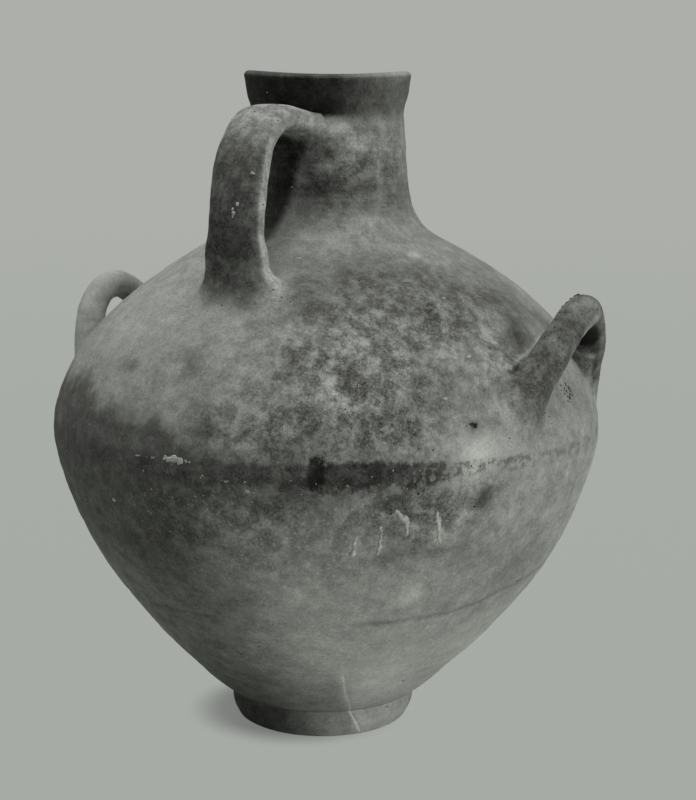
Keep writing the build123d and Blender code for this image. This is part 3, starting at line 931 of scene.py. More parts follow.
def reach_wall(start, toward, longest):
    """Where lines from the start points first meet the wall."""
    low, high = np.zeros(len(start)), np.full(len(start), float(longest))
    for _ in range(30):
        middle = (low + high) / 2
        outside = wall_gap(start + toward * middle[:, None]) > 0
        low, high = np.where(outside, middle, low), np.where(outside, high, middle)
    return start + toward * low[:, None]


# %% The sweep
# Points round a handle, rings in each fillet, and how far an end is looked for, in mm
ring_points, fillet_rings, longest_reach = 96, 14, 60
# The smear's edge: how far it runs on, and how deep it and the hub dip under the skin, in mm
skirt_out, skirt_dip, hub_dip = 0.6, 0.5, 2.4


def swept(path, wide, section, flares):
    """Rings along a path with both ends run out onto the wall.

    path: points on the middle line, outside the wall. wide: the section's first direction.
    section: share of the path to half sizes and squareness. flares: for each end, how far
    the smear runs out over the wall, as a function of its direction there. Gives back the
    rings, the two poles, and for each ring its share of the path and how far it is down
    the smear."""
    turn = np.linspace(0, 2 * math.pi, ring_points, endpoint=False)
    c, s = np.cos(turn), np.sin(turn)
    along = np.gradient(path, axis=0)
    along /= np.linalg.norm(along, axis=1)[:, None]
    shares = np.linspace(0, 1, len(path))
    rows = []
    for point, forward, share in zip(path, along, shares):
        first = wide - forward * (wide @ forward)
        first /= np.linalg.norm(first)
        second = np.cross(forward, first)
        half_wide, half_thick, square = section(share)
        x = half_wide * np.sign(c) * np.abs(c) ** (2 / square)
        y = half_thick * np.sign(s) * np.abs(s) ** (2 / square)
        rows.append(point + x[:, None] * first + y[:, None] * second)
    ends = []
    for end in (0, -1):
        ring, point = rows[end], path[end]
        forward = -along[0] if end == 0 else along[-1]
        corner = reach_wall(ring, forward[None], longest_reach)
        hub = reach_wall(point[None], forward[None], longest_reach)[0]
        out = corner - hub
        out /= np.linalg.norm(out, axis=1)[:, None]
        landing = onto_wall(corner + out * flares[end](out)[:, None], 0.0)
        extra = []
        for t in np.linspace(0, 1, fillet_rings + 1)[1:]:
            extra.append((1 - t) ** 2 * ring + 2 * t * (1 - t) * corner + t**2 * landing)
        last_out = landing - corner
        last_out /= np.maximum(np.linalg.norm(last_out, axis=1), 1e-6)[:, None]
        extra.append(onto_wall(landing + last_out * skirt_out, -skirt_dip))
        extra.append(onto_wall(landing * 0.6 + corner * 0.4, -hub_dip))
        ends.append((extra, onto_wall(hub[None], -hub_dip)[0]))
    (head, head_pole), (tail, tail_pole) = ends
    head_root = np.linspace(1, 0, len(head) + 1)[:-1]
    tail_root = np.linspace(0, 1, len(tail) + 1)[1:]
    root = np.r_[head_root, np.zeros(len(rows)), tail_root]
    share = np.r_[np.zeros(len(head)), shares, np.ones(len(tail))]
    return np.array(head[::-1] + rows + tail), (head_pole, tail_pole), share, root


def roughen(rows, amount, size, seed):
    """Soft finger marks on a swept form, along its own outward direction."""
    out = rows - rows.mean(1, keepdims=True)
    out /= np.maximum(np.linalg.norm(out, axis=2, keepdims=True), 1e-6)
    swell = amount * waves(rows, size, seed) + 0.4 * amount * waves(rows, size / 3, seed + 1)
    return rows + out * swell[..., None]


def handle_marks(rows, share, root, own_tone, mottled_by):
    """The handle's own numbers, passing into the wall's where its ends are smeared out."""
    there = marks(own_angle(rows), np.clip(rows[..., 2], 20, 420))
    blend = smoothstep(0.15, 0.75, root)[:, None]
    turn = np.linspace(0, 2 * math.pi, rows.shape[1], endpoint=False)[None]
    tone = own_tone(share[:, None], turn) / 255
    own = {"band": -6.0, "mottle": mottled_by, "streak": 0.0, "dust": 0.4, "tone": tone}
    for key in own:
        there[key] = there[key] * blend + own[key] * (1 - blend)
    return there


# %% Strap handle
# Its middle line, as distance from the axis and height, and its section
strap_half_width, strap_half_thick, strap_squareness = 19.2, 8.2, 2.7
strap_line = [
    (64.0, 419.2), (73.0, 420.2), (82.5, 419.7), (93.5, 414.6), (104.8, 404.5), (111.0, 392.0),
    (115.1, 375.6), (117.6, 358.0), (118.2, 343.2), (117.6, 333.5),
]
strap_flat = smooth_line(strap_line, 1.5)
strap_path = np.column_stack([0 * strap_flat[:, 0], -strap_flat[:, 0], strap_flat[:, 1]])


def strap_section(share):
    """Half width, half thickness and squareness: broad at the foot, thick at the knee."""
    foot, waist, knee = bell(1 - share, 0.09), bell(share - 0.30, 0.12), bell(share - 0.22, 0.15)
    half_width = strap_half_width * (1 + 0.16 * foot - 0.06 * waist)
    return half_width, strap_half_thick * (1 + 0.10 * knee), strap_squareness


def strap_top_flare(out):
    """The smear on the neck, in mm: longest down to the right."""
    right, down = np.clip(out[:, 0], 0, 1), np.clip(-out[:, 2], 0, 1)
    return 4.0 + 2.0 * right**2 + 2.5 * down + 24.0 * right * down


def strap_foot_flare(out):
    """The smear on the shoulder, in mm: long to both sides, longer to the right."""
    right, down = np.clip(out[:, 0], 0, 1), np.clip(-out[:, 2], 0, 1)
    return 8.0 + 12.0 * np.abs(out[:, 0]) ** 1.5 + 4.0 * right + 3.0 * down


def strap_tone(share, turn):
    """Dark face, partly a smoke stain and partly painted shade on the side turned from the light.
    Painted shade underneath, and painted highlights on the top ridge and on the right side near
    the lower end.

    share runs from 0 at the neck to 1 at the shoulder, turn goes round the section."""
    outward, rightward = np.sin(turn), np.cos(turn)
    # The face is darker partly from smoke and partly as painted shade; the underside is painted
    # shade; the ridge and the toe are painted highlights.
    stain_and_shade_face = smoothstep(0.22, 0.55, outward) * smoothstep(0.22, 0.52, share)
    stain_and_shade_low_face = stain_and_shade_face * smoothstep(0.6, 0.85, share) * smoothstep(1.05, 0.9, share)
    lit_ridge = smoothstep(0.16, 0.06, share) * smoothstep(0.3, 0.8, outward)
    lit_ridge = lit_ridge * smoothstep(-0.2, 0.5, rightward)
    shaded_underside = smoothstep(-0.2, -0.8, outward)
    knee = smoothstep(0.24, 0.16, share) * smoothstep(0.05, 0.1, share)
    knee = knee * smoothstep(0.9, -0.2, outward) * smoothstep(-0.3, 0.5, rightward)
    lit_right_toe = smoothstep(0.1, 0.8, rightward) * smoothstep(0.82, 0.95, share)
    return 12 - 54 * stain_and_shade_face - 18 * stain_and_shade_low_face - 26 * shaded_underside - 34 * knee + 20 * lit_ridge + 24 * lit_right_toe


handle_mottle = 0.6
to_the_right = np.array([1.0, 0, 0])
strap_flares = {0: strap_top_flare, -1: strap_foot_flare}
rows, poles, share, root = swept(strap_path, to_the_right, strap_section, strap_flares)
# The last two rings at each end stay on the wall
rows[2:-2] = roughen(rows, 0.36, 30, 31)[2:-2]
strap_marks = handle_marks(rows, share, root, strap_tone, handle_mottle)
vertical_handle = grid_mesh("Vertical_handle", rows, False, poles, strap_marks)

# %% Side handles
def side_arch(azimuth, tilt, half_span, rise, squareness, base_radius, base_height):
    """The middle line of a bent roll that stands nearly upright on the shoulder.

    Gives back the line, the direction across it, and the direction from root to root."""
    turn = math.radians(azimuth)
    outward = np.array([math.sin(turn), -math.cos(turn), 0.0])
    along = np.array([math.cos(turn), math.sin(turn), 0.0])
    upright = outward * math.cos(math.radians(tilt)) + sky * math.sin(math.radians(tilt))
    t = np.linspace(0, math.pi, 400)
    u = half_span * np.sign(np.cos(t)) * np.abs(np.cos(t)) ** (2 / squareness)
    v = rise * np.abs(np.sin(t)) ** (2 / squareness)
    line = outward * base_radius + sky * base_height + u[:, None] * along + v[:, None] * upright
    return line, np.cross(along, upright), along


def side_handle(name, arch, across, radius, clearance, flares, tone, mottled_by, seed):
    """A bent roll, trimmed where it comes near the wall and smeared onto it."""
    line = smooth_line(arch[::16], 1.4)
    line = line[wall_gap(line) > clearance]

    def section(share):
        """A round roll, a little thicker toward both ends."""
        ends = bell(share, 0.16) + bell(1 - share, 0.16)
        return radius * (1 + 0.10 * ends), radius * (1 + 0.06 * ends), 2.05

    rows, poles, share, root = swept(line, across, section, flares)
    rows[2:-2] = roughen(rows, 0.30, 26, seed)[2:-2]
    values = handle_marks(rows, share, root, tone, mottled_by)
    return grid_mesh(name, rows, False, poles, values)


def far_flare(out):
    """A short smear, in mm, a little longer downward."""
    return 4.0 + 0.5 * np.clip(-out[:, 2], 0, 1)


# %% Right handle
right_arch, right_across, right_along = side_arch(
    azimuth=seen(62.6), tilt=71.5, half_span=43.5, rise=48.3, squareness=1.56,
    base_radius=170.0, base_height=253.5,
)


def near_flare(out):
    """The broad smear at the root that is nearer to the camera, in mm."""
    toward_camera = np.clip(-(out @ right_along), 0, 1)
    return 6.0 + 9.0 * toward_camera**2 + 8.0 * np.clip(-out[:, 2], 0, 1) ** 2


def right_tone(share, turn):
    """Near black inside its far half, a painted shadow where it faces the wall; paler on top; a
    painted highlight on the near leg's inner edge; rubbed pale at the far root.
    """
    inner = smoothstep(0.1, 0.9, -np.sin(turn))
    # Painted highlight: the near leg's inner edge, where the side light grazes it.
    painted_edge_highlight = smoothstep(0.1, -0.4, np.sin(turn)) * smoothstep(0.5, 0.7, share)
    rubbed = 80 * bell(share - 0.02, 0.045) * smoothstep(0.5, 0.95, inner)
    top = smoothstep(0.72, 0.58, share) * smoothstep(0.38, 0.48, share)
    # Painted shadow: the far half's inner side, which faces the wall.
    painted_shadow = inner * smoothstep(0.6, 0.3, share) * (0.4 + 0.6 * smoothstep(0.08, 0.24, share))
    return -42 + 26 * top - 130 * painted_shadow + 50 * painted_edge_highlight + rubbed


right_side_handle = side_handle(
    "Right_side_handle", right_arch, right_across, radius=10.9, clearance=13.0,
    flares={0: far_flare, -1: near_flare}, tone=right_tone, mottled_by=handle_mottle, seed=41,
)

# %% Left handle
left_arch, left_across, _ = side_arch(
    azimuth=seen(-121.2), tilt=79.2, half_span=39.5, rise=56.1, squareness=2.11,
    base_radius=175.0, base_height=238.3,
)


def left_tone(share, turn):
    """Pale clay, with painted shade on the inner side that faces the wall, most of all at the far
    root.
    """
    inner = smoothstep(0.55, 0.95, -np.sin(turn))
    # Painted shade: the inner side, between the roll and the wall.
    return 20 - 50 * inner - 40 * inner * smoothstep(0.5, 0.8, share)


left_side_handle = side_handle(
    "Left_side_handle", left_arch, left_across, radius=9.7, clearance=12.0,
    flares={0: far_flare, -1: far_flare}, tone=left_tone, mottled_by=0.12, seed=43,
)

# %% [markdown]
# Lime and grit
#
# The jar lay in the ground, and lime settled on it as specks, a crust and a few short runs
# below the belly. Black grit sits in a handful of pits, burnt crumbs cling to the right
# handle, and fine burnt grit dusts that handle and the strap. Each is a heap of small
# lumps, so one low ball is set again and again on the skin. Geometry Nodes do that in two
# ways: on listed places, and on places drawn at random from a fixed seed, more of
# them where the surface is dusty.

# %% Trees that set lumps on the skin
# A ball of one millimetre, scaled to each lump
ball_radius = 0.5 * MM


def lumps_on(tree, points, turn, scale, finish):
    """The end of a tree: a low ball on every point, turned, scaled and finished."""
    ball = add_node(tree, "GeometryNodeMeshIcoSphere", {"Radius": ball_radius, "Subdivisions": 1})
    smooth = add_node(tree, "GeometryNodeSetShadeSmooth", {"Geometry": ball.outputs["Mesh"]})
    placed = add_node(
        tree, "GeometryNodeInstanceOnPoints",
        {"Points": points, "Instance": smooth.outputs[0], "Rotation": turn, "Scale": scale},
    )
    end_tree(tree, placed.outputs[0], finish)


placed_tree, given = new_geometry_tree("Placed_lumps", {"Size": "Float", "Finish": "Material"})
cloud = add_node(placed_tree, "GeometryNodeMeshToPoints", {"Mesh": given["Geometry"]})
turn_mark = add_node(
    placed_tree, "GeometryNodeInputNamedAttribute", {"Name": "turn"}, data_type="FLOAT_VECTOR"
)
size_mark = add_node(
    placed_tree, "GeometryNodeInputNamedAttribute", {"Name": "lump"}, data_type="FLOAT_VECTOR"
)
turned_by = add_node(placed_tree, "FunctionNodeEulerToRotation", {0: turn_mark.outputs[0]})
scaled_by = add_node(
    placed_tree, "ShaderNodeVectorMath", {0: size_mark.outputs[0], "Scale": given["Size"]},
    operation="SCALE",
)
lumps_on(
    placed_tree, cloud.outputs[0], turned_by.outputs[0], scaled_by.outputs[0], given["Finish"]
)

random_tree, given = new_geometry_tree(
    "Scattered_specks",
    {
        "Specks per square metre": "Float", "Smallest": "Vector", "Largest": "Vector",
        "Seed": "Int", "Finish": "Material",
    },
)
dust_mark = add_node(
    random_tree, "GeometryNodeInputNamedAttribute", {"Name": "dust"}, data_type="FLOAT"
)
amount = add_node(
    random_tree, "ShaderNodeMath",
    {0: dust_mark.outputs[0], 1: given["Specks per square metre"]}, operation="MULTIPLY",
)
scatter = add_node(
    random_tree, "GeometryNodeDistributePointsOnFaces",
    {"Mesh": given["Geometry"], "Density": amount.outputs[0], "Seed": given["Seed"]},
)
sizes = add_node(
    random_tree, "FunctionNodeRandomValue",
    {0: given["Smallest"], 1: given["Largest"], "Seed": given["Seed"]}, data_type="FLOAT_VECTOR",
)
lumps_on(
    random_tree, scatter.outputs["Points"], scatter.outputs["Rotation"], sizes.outputs[0],
    given["Finish"],
)

# %% Where the lime, the crust and the grit sit
# Specks and crusts: angle, height, width, height and thickness in mm
lime_places = [
    (-45.8, 437.4, 1.3, 1.3, 0.5), (-24.8, 375.1, 1.5, 1.3, 0.5), (54.1, 395.5, 1.3, 1.3, 0.5),
    (48.4, 380.3, 1.2, 1.2, 0.5), (-13.3, 332.3, 2.8, 1.6, 0.6), (35.1, 309.2, 2, 1.5, 0.5),
    (32.6, 277.3, 2.3, 2.2, 0.6), (24, 255.1, 2, 1.9, 0.6), (6.2, 264.5, 1.5, 1.5, 0.5),
    (18.2, 250.7, 1.2, 1.2, 0.5), (12.3, 215.7, 1.1, 1.7, 0.5), (-46.8, 182.4, 2.4, 2.8, 0.8),
    (-18.6, 207.4, 1.6, 1.7, 0.6), (-15.1, 208, 1.6, 1.6, 0.6), (-14.6, 202.2, 2.4, 2.1, 0.8),
    (-13.3, 201.4, 1.3, 1.3, 0.5), (-25.3, 195.6, 1.2, 1.2, 0.5), (-22.8, 187.6, 1.2, 1.2, 0.5),
    (-13.5, 195.7, 1.1, 1.1, 0.5), (-32.3, 169.4, 1.2, 1.2, 0.5), (-23.5, 209.7, 1.4, 1.3, 0.5),
    (-35.7, 246.4, 1.2, 1.2, 0.5), (-60.4, 302.8, 1.3, 1.2, 0.5), (-38.2, 216.2, 2.2, 1.5, 0.6),
    (-34.6, 216.7, 1.6, 1.4, 0.6), (-30.9, 217, 3.4, 3.4, 0.7), (-29.6, 217.8, 3.6, 4, 0.8),
    (-28.3, 217.2, 3.4, 3.6, 0.7), (-26.8, 217, 2.2, 2, 0.6), (3.1, 113.9, 1.6, 2.4, 0.5),
    (33.2, 88.4, 1.5, 2.4, 0.5), (33.9, 87, 1.3, 2.2, 0.5), (17.5, 215, 1, 1.2, 0.4),
]
# Black grit and small pits: angle, height, width, height in mm
grit_places = [
    (-42.4, 159.2, 1.5, 1.5), (12.3, 188.6, 1.5, 1.5), (61, 251.5, 1.4, 4), (62.2, 247, 1.3, 3.6),
    (60.8, 243, 2.6, 3), (61.8, 249, 1.8, 3), (60.2, 247.5, 1.6, 3), (61.4, 244.8, 1.8, 2.2),
    (62.6, 244, 1.4, 1.8), (17.3, 200.5, 1.9, 1.9), (19.1, 186.4, 1.3, 1.2),
    (20.2, 226.5, 1.3, 1.2), (3.4, 251.6, 1.2, 1.1), (34.2, 47.3, 3.2, 1.2),
    (44.6, 16.5, 1.6, 1.5), (-26.1, 76.5, 1.9, 1.6), (-18.7, 86.4, 1.6, 1.2),
    (29.4, 238.8, 4.2, 2.8), (30, 237.2, 2.6, 3.4), (28.8, 239.4, 2.8, 2),
    (30.2, 238.6, 2.4, 2.4), (27.8, 238.6, 1, 0.9), (58.6, 251.9, 1.9, 1.4),
    (59.6, 249.4, 1.5, 1.3), (58.8, 246.4, 1.8, 1.5), (60, 244.4, 1.6, 1.3),
    (59.4, 241.6, 2, 1.5), (60.2, 240.6, 1.2, 1.1), (57.8, 249, 1, 1), (37.8, 255, 1.1, 1),
    (38.8, 252.6, 1.3, 1), (29.7, 188, 2.4, 1.5), (53.9, 121.6, 2.2, 1), (9.6, 320.3, 1.5, 1),
    (28, 215, 1.1, 1.2), (30, 214.2, 1, 1.4), (32, 215.5, 1, 1.3), (-20, 309, 1.6, 1),
    (60.4, 214, 1.2, 1), (63, 211, 1.3, 1), (66.5, 213.5, 1.2, 1.1),
]
# Burnt crumbs on the right handle: point in mm, width, height and thickness
handle_crumbs = [
    ((181.2, 5.9, 309.4), 3.4, 3, 2.2), ((179.6, 4.8, 308.6), 2.6, 2.6, 1.8),
    ((179.4, -1.5, 307.5), 2.4, 2.2, 1.2), ((179, -6, 304.5), 1.8, 2.4, 1.2),
    ((176.5, -6.2, 302.2), 1.6, 2, 1), ((178.5, -16, 299.5), 1.8, 1.4, 0.9),
    ((177.7, -22.8, 296.4), 1.6, 1.6, 0.9), ((179.2, -28, 292.5), 1.3, 1.6, 0.8),
]
# Chips on the strap, as points near its face
strap_chips = [
    ((5, -127, 368.5), 1.6, 2.2, 0.4), ((2.6, -127, 362.8), 1.6, 2.8, 0.4),
    ((14.5, -123, 388.5), 2, 1.2, 0.5),
]


# %% A cloud of lumps
def lump_cloud(name, guesses, sizes, carriers):
    """Points on the nearest carrier's skin, with a turn that lays each lump flat on it."""
    points, turns = [], []
    for guess in guesses:
        place = Vector(np.asarray(guess) * MM)
        hits = [carrier.closest_point_on_mesh(place) for carrier in carriers]
        near = min(hits, key=lambda hit: (hit[1] - place).length)
        points.append(near[1])
        turns.append(near[2].to_track_quat("Z", "Y").to_euler())
    mesh = bpy.data.meshes.new(name)
    mesh.from_pydata([tuple(point) for point in points], [], [])
    for key, rows in (("turn", turns), ("lump", sizes)):
        flat_rows = np.array([tuple(row) for row in rows], np.float32).ravel()
        mesh.attributes.new(key, "FLOAT_VECTOR", "POINT").data.foreach_set("vector", flat_rows)
    return mesh


# %% Lumps of lime
# A crust is a heap of crumbs, each this share of its size. A run is a row of lumps, this far
# apart and this thick in mm. The last is the length of one degree round the belly.
crumb_share, run_step, run_thick, belly_degree = 0.62, 0.6, 0.6, 3.28
rng = np.random.default_rng(77)
guesses, sizes = [], []
for angle, height, width, tall, thick in lime_places:
    crumbs = max(1, int(2 * width * tall))
    share = 1.0 if crumbs == 1 else crumb_share
    for _ in range(crumbs):
        nudge = rng.normal(0, 1, 2) * (0.3 * width, 0.16 * tall) * (crumbs > 1)
        spin = math.degrees(nudge[0] / float(wall_radius(height)))
        guesses.append(outer_wall(seen(angle + spin), np.float64(height + nudge[1])))
        crumb_width = width * share * rng.uniform(0.7, 1.2)
        crumb_tall = tall * share * rng.uniform(0.7, 1.2)
        sizes.append((crumb_width, crumb_tall, thick))
for places in lime_runs:
    places = np.array(places, float)
    run = run_along(places[:, :2] * [belly_degree, 1.0])
    for at in np.arange(0, run[-1], run_step):
        angle, height, width = (np.interp(at, run, column) for column in places.T)
        width *= rng.uniform(0.55, 1.35)
        guesses.append(outer_wall(seen(angle + rng.normal(0, 0.11)), np.float64(height)))
        sizes.append((width, max(0.8 * width, 1.2), run_thick))
for guess, width, tall, thick in strap_chips:
    for _ in range(9):
        guesses.append(guess + rng.normal(0, 0.3, 3) * (width, 0, tall))
        sizes.append((width * rng.uniform(0.6, 1.1), tall * rng.uniform(0.5, 0.9), thick))

jar_skins = [lower_body, upper_body, neck_and_mouth, foot_ring, vertical_handle]
lime_cloud = lump_cloud("Lime", guesses, sizes, jar_skins)
lime_mesh = grow(placed_tree, lime_cloud, {"Size": 1.0, "Finish": lime})
print("Lime_crust_and_runs", len(guesses), "lumps")

# %% Lumps of grit and burnt crumbs
grit_thick = 0.7
guesses = [outer_wall(seen(angle), np.float64(height)) for angle, height, _, _ in grit_places]
sizes = [(width, tall, grit_thick) for _, _, width, tall in grit_places]
for place, width, tall, thick in handle_crumbs:
    guesses.append(np.array(place))
    sizes.append((width, tall, thick))
grit_cloud = lump_cloud("Grit", guesses, sizes, jar_skins + [right_side_handle])
grit_mesh = grow(placed_tree, grit_cloud, {"Size": 1.0, "Finish": char})
print("Charred_grit", len(guesses), "lumps")

# %% Fine specks at random, more where the wall is dusty
# A coarse sheet of the outer skin, from 30 to 412 mm up, only to carry the random points
sheet_columns, sheet_rows, points_of_ball = 181, 150, 12
sheet_theta = np.linspace(0, 360, sheet_columns)[None]
sheet_height = np.linspace(30, 412, sheet_rows)[:, None]
sheet = outer_wall(sheet_theta + 0 * sheet_height, sheet_height + 0 * sheet_theta)
index = np.arange(sheet_rows * sheet_columns).reshape(sheet_rows, sheet_columns)
corners = np.stack([index[:-1, :-1], index[:-1, 1:], index[1:, 1:], index[1:, :-1]], -1)
skin_sheet = bpy.data.meshes.new("Outer_skin_sheet")
skin_sheet.from_pydata((sheet.reshape(-1, 3) * MM).tolist(), [], corners.reshape(-1, 4).tolist())
keep_marks(skin_sheet, {"dust": marks(sheet_theta, sheet_height)["dust"]})
fine_lime = {
    "Specks per square metre": 2400.0, "Smallest": (0.5, 0.5, 0.3), "Largest": (1.2, 1.2, 0.5),
    "Seed": 12, "Finish": lime,
}
burnt_grit = {
    "Specks per square metre": 24000.0, "Smallest": (0.4, 0.4, 0.3), "Largest": (1.5, 1.3, 0.7),
    "Seed": 3, "Finish": char,
}
dirt_meshes = {
    "Lime_crust_and_runs": lime_mesh,
    "Lime_specks": grow(random_tree, skin_sheet, fine_lime),
    "Charred_grit": grit_mesh,
    "Strap_grit": grow(random_tree, vertical_handle.data.copy(), burnt_grit),
    "Right_handle_grit": grow(random_tree, right_side_handle.data.copy(), burnt_grit),
}
dirt_pieces = [plain_piece(name, mesh) for name, mesh in dirt_meshes.items()]
print({name: len(mesh.vertices) // points_of_ball for name, mesh in dirt_meshes.items()}, "lumps")

# %% Each skin stands for its CAD piece
jar_pieces = [
    (foot_ring, "foot_ring"), (lower_body, "lower_body"), (upper_body, "upper_body"),
    (neck_and_mouth, "neck_and_mouth"), (vertical_handle, "vertical_handle"),
    (right_side_handle, "right_side_handle"), (left_side_handle, "left_side_handle"),
]
for piece, node in jar_pieces:
    if not piece.data.materials:
        piece.data.materials.append(clay)
    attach(piece, "root")
    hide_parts(node)
for piece in dirt_pieces:
    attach(piece, "root")
every_piece = [piece for piece, _ in jar_pieces] + dirt_pieces
triangles = {p.name: len(p.data.loops) - 2 * len(p.data.polygons) for p in every_piece}
print("triangles", triangles, "in all", sum(triangles.values()))

# %% [markdown]
# Fired clay
#
# The pot is common red or buff earthenware: thrown, unglazed, fired in smoke and buried for
# a long time. Such a surface is matt and a little gritty, with the wheel's fine lines, a
# mottle where salts and smoke soaked in unevenly, and a darker band where something rested
# or was tied. The photograph is in greys, so the colours here are greys too. Noise gives
# the grain at real sizes in millimetres, and the marks on the vertices say where each
# layer shows. The layers and the recipe are kept as tables, and one loop builds the nodes.

# %% Colour helper
def linear(hex_colour):
    """An sRGB hex colour as linear light, which is what shaders work in."""
    red, green, blue = (
        part / 12.92 if part <= 0.04045 else ((part + 0.055) / 1.055) ** 2.4
        for part in (int(hex_colour[i : i + 2], 16) / 255 for i in (0, 2, 4))
    )
    return red, green, blue, 1.0


# %% Layers and recipe of the clay
# Layer: grain size in mm, octaves, roughness of the octaves, stretch of the pattern
clay_layers = {
    "grain": (1.4, 2.0, 0.7, (1, 1, 1)),
    "grit": (4.2, 3.0, 0.62, (1, 1, 1)),
    "cloud": (12.0, 4.0, 0.62, (1, 1, 1)),
    "patch": (55.0, 3.0, 0.5, (1, 1, 1)),
    "network": (11.0, 6.0, 0.7, (1, 1, 1)),
    "turning": (2.8, 3.0, 0.65, (0.09, 0.09, 1)),
    "drag": (2.2, 2.0, 0.6, (1, 1, 0.22)),
    "flecks": (2.1, 1.0, 0.5, (1, 1, 1)),
}
clay_marks = [
    "tone", "stain", "stain_depth", "band", "band_depth", "band_whole", "mottle", "streak", "dust"
]
# Recipe: sums start from one value and add others by weight, steps rise smoothly from the
# first to the second number, products multiply two values
clay_recipe = [
    ("sum", "border", "stain", {"cloud": 30, "grit": 16, "grain": 8}),
    ("step", "sooty", "border", (-8, 9)),
    ("product", "soot", "sooty", "stain_depth"),
    ("sum", "fray", "band", {"grit": 8, "drag": 3, "grain": 5, "cloud": 5}),
    ("step", "in_band", "fray", (-1.6, 2.0)),
    ("sum", "wear", "band_whole", {"grit": 2.4, "cloud": 0.5, "drag": 0.5, "grain": 0.9}),
    ("step", "unworn", "wear", (0.3, 0.8)),
    ("product", "banded", "in_band", "unworn"),
    ("product", "band_dark", "banded", "band_depth"),
    ("sum", "net", "network", {"grit": 0.3, "grain": 0.35}),
    ("step", "net_dark", "net", (-0.02, 0.012)),
    ("step", "net_pale", "net", (-0.08, -0.16)),
    ("product", "blotched", "net_dark", "mottle"),
    ("product", "cleared", "net_pale", "mottle"),
    ("product", "wheel_lines", "turning", "streak"),
    ("step", "fleck", "flecks", (0.11, 0.2)),
    ("step", "pock", "flecks", (-0.12, -0.2)),
    ("product", "pocked", "pock", "mottle"),
    ("product", "dusting", "fleck", "dust"),
    ("product", "grain_there", "grain", "mottle"),
    ("product", "grit_there", "grit", "mottle"),
    ("product", "cloud_there", "cloud", "mottle"),
    ("sum", "shade", "tone", {
        "grain": 0.21, "grain_there": 0.42, "grit": 0.14, "grit_there": 0.24, "cloud": 0.12,
        "cloud_there": 0.17, "patch": 0.12, "drag": 0.03, "wheel_lines": 0.22, "soot": -1.0,
        "band_dark": -1.0, "blotched": -0.19, "cleared": 0.10, "dusting": 0.07, "pocked": -0.08,
    }),
    ("sum", "height", "grit", {"grain": 0.9, "turning": 0.3, "network": 0.5}),
    ("sum", "sheen", "patch", {"grit": 0.8, "grain": 0.5}),
]
clay_greys = [
    (0, "000000"), (0.1, "191a18"), (0.2, "333431"), (0.35, "595a56"), (0.5, "7e807b"),
    (0.65, "a4a7a1"), (0.8, "cacdc7"), (1, "fdfffa"),
]
# The plain clay's place on the ramp, and the plain place of lime and grit
plain_clay, plain_dirt = 0.573, 0.5


# %% Nodes from a recipe
def cook(tree, layers, mark_names, recipe):
    """Builds the noises, reads the marks, and works the recipe. Gives back every value."""
    place = add_node(tree, "ShaderNodeTexCoord").outputs["Object"]
    value = {}
    for name in mark_names:
        value[name] = add_node(tree, "ShaderNodeAttribute", attribute_name=name).outputs["Fac"]
    for name, (size, octaves, rough, stretch) in layers.items():
        moved = add_node(tree, "ShaderNodeMapping", {"Vector": place, "Scale": stretch}).outputs[0]
        noise = add_node(
            tree, "ShaderNodeTexNoise",
            {"Vector": moved, "Scale": 1000 / size, "Detail": octaves, "Roughness": rough},
        ).outputs["Fac"]
        value[name] = add_node(
            tree, "ShaderNodeMath", {0: noise, 1: 0.5}, operation="SUBTRACT"
        ).outputs[0]
    for kind, result, first, rest in recipe:
        total = value[first]
        if kind == "sum":
            for name, weight in rest.items():
                terms = {0: value[name], 1: weight, 2: total}
                total = add_node(
                    tree, "ShaderNodeMath", terms, operation="MULTIPLY_ADD"
                ).outputs[0]
        elif kind == "step":
            total = add_node(
                tree, "ShaderNodeMapRange",
                {"Value": total, "From Min": rest[0], "From Max": rest[1]},
                interpolation_type="SMOOTHSTEP",
            ).outputs["Result"]
        else:
            total = add_node(
                tree, "ShaderNodeMath", {0: total, 1: value[rest]}, operation="MULTIPLY"
            ).outputs[0]
        value[result] = total
    return value


# %% The finish of the clay
def grey_finish(material, value, plain, greys, rough, sheen_part, bump_mm, strength, specular):
    """Ends a matt mineral finish: a grey ramp, a varying roughness and a fine bump."""
    tree = material.node_tree
    level = add_node(
        tree, "ShaderNodeMath", {0: value["shade"], 1: plain}, operation="ADD"
    ).outputs[0]
    ramp_node = add_node(tree, "ShaderNodeValToRGB", {"Fac": level})
    ramp = ramp_node.color_ramp
    ramp.elements.remove(ramp.elements[-1])
    ramp.elements[0].position, ramp.elements[0].color = greys[0][0], linear(greys[0][1])
    for position, grey in greys[1:]:
        ramp.elements.new(position).color = linear(grey)
    roughness = add_node(
        tree, "ShaderNodeMath", {0: value["sheen"], 1: sheen_part, 2: rough},
        operation="MULTIPLY_ADD",
    )
    bump = add_node(
        tree, "ShaderNodeBump",
        {"Height": value["height"], "Strength": strength, "Distance": bump_mm * MM},
    )
    shader = add_node(
        tree, "ShaderNodeBsdfPrincipled",
        {
            "Base Color": ramp_node.outputs["Color"], "Roughness": roughness.outputs[0],
            "Normal": bump.outputs["Normal"], "Specular IOR Level": specular,
        },
    )
    add_node(tree, "ShaderNodeOutputMaterial", {"Surface": shader.outputs[0]})


value = cook(bare_tree(clay), clay_layers, clay_marks, clay_recipe)
grey_finish(
    clay, value, plain_clay, clay_greys,
    rough=0.84, sheen_part=0.25, bump_mm=0.5, strength=0.45, specular=0.25,
)
print("clay:", len(clay.node_tree.nodes), "nodes")

# %% [markdown]
# Lime and charred grit
#
# Lime is chalky: pale, dead matt and powdery, so it needs only a soft grey variation and a
# fine bump. The grit is burnt black and hardly shines. Both use the same cooking loop with
# a shorter recipe.

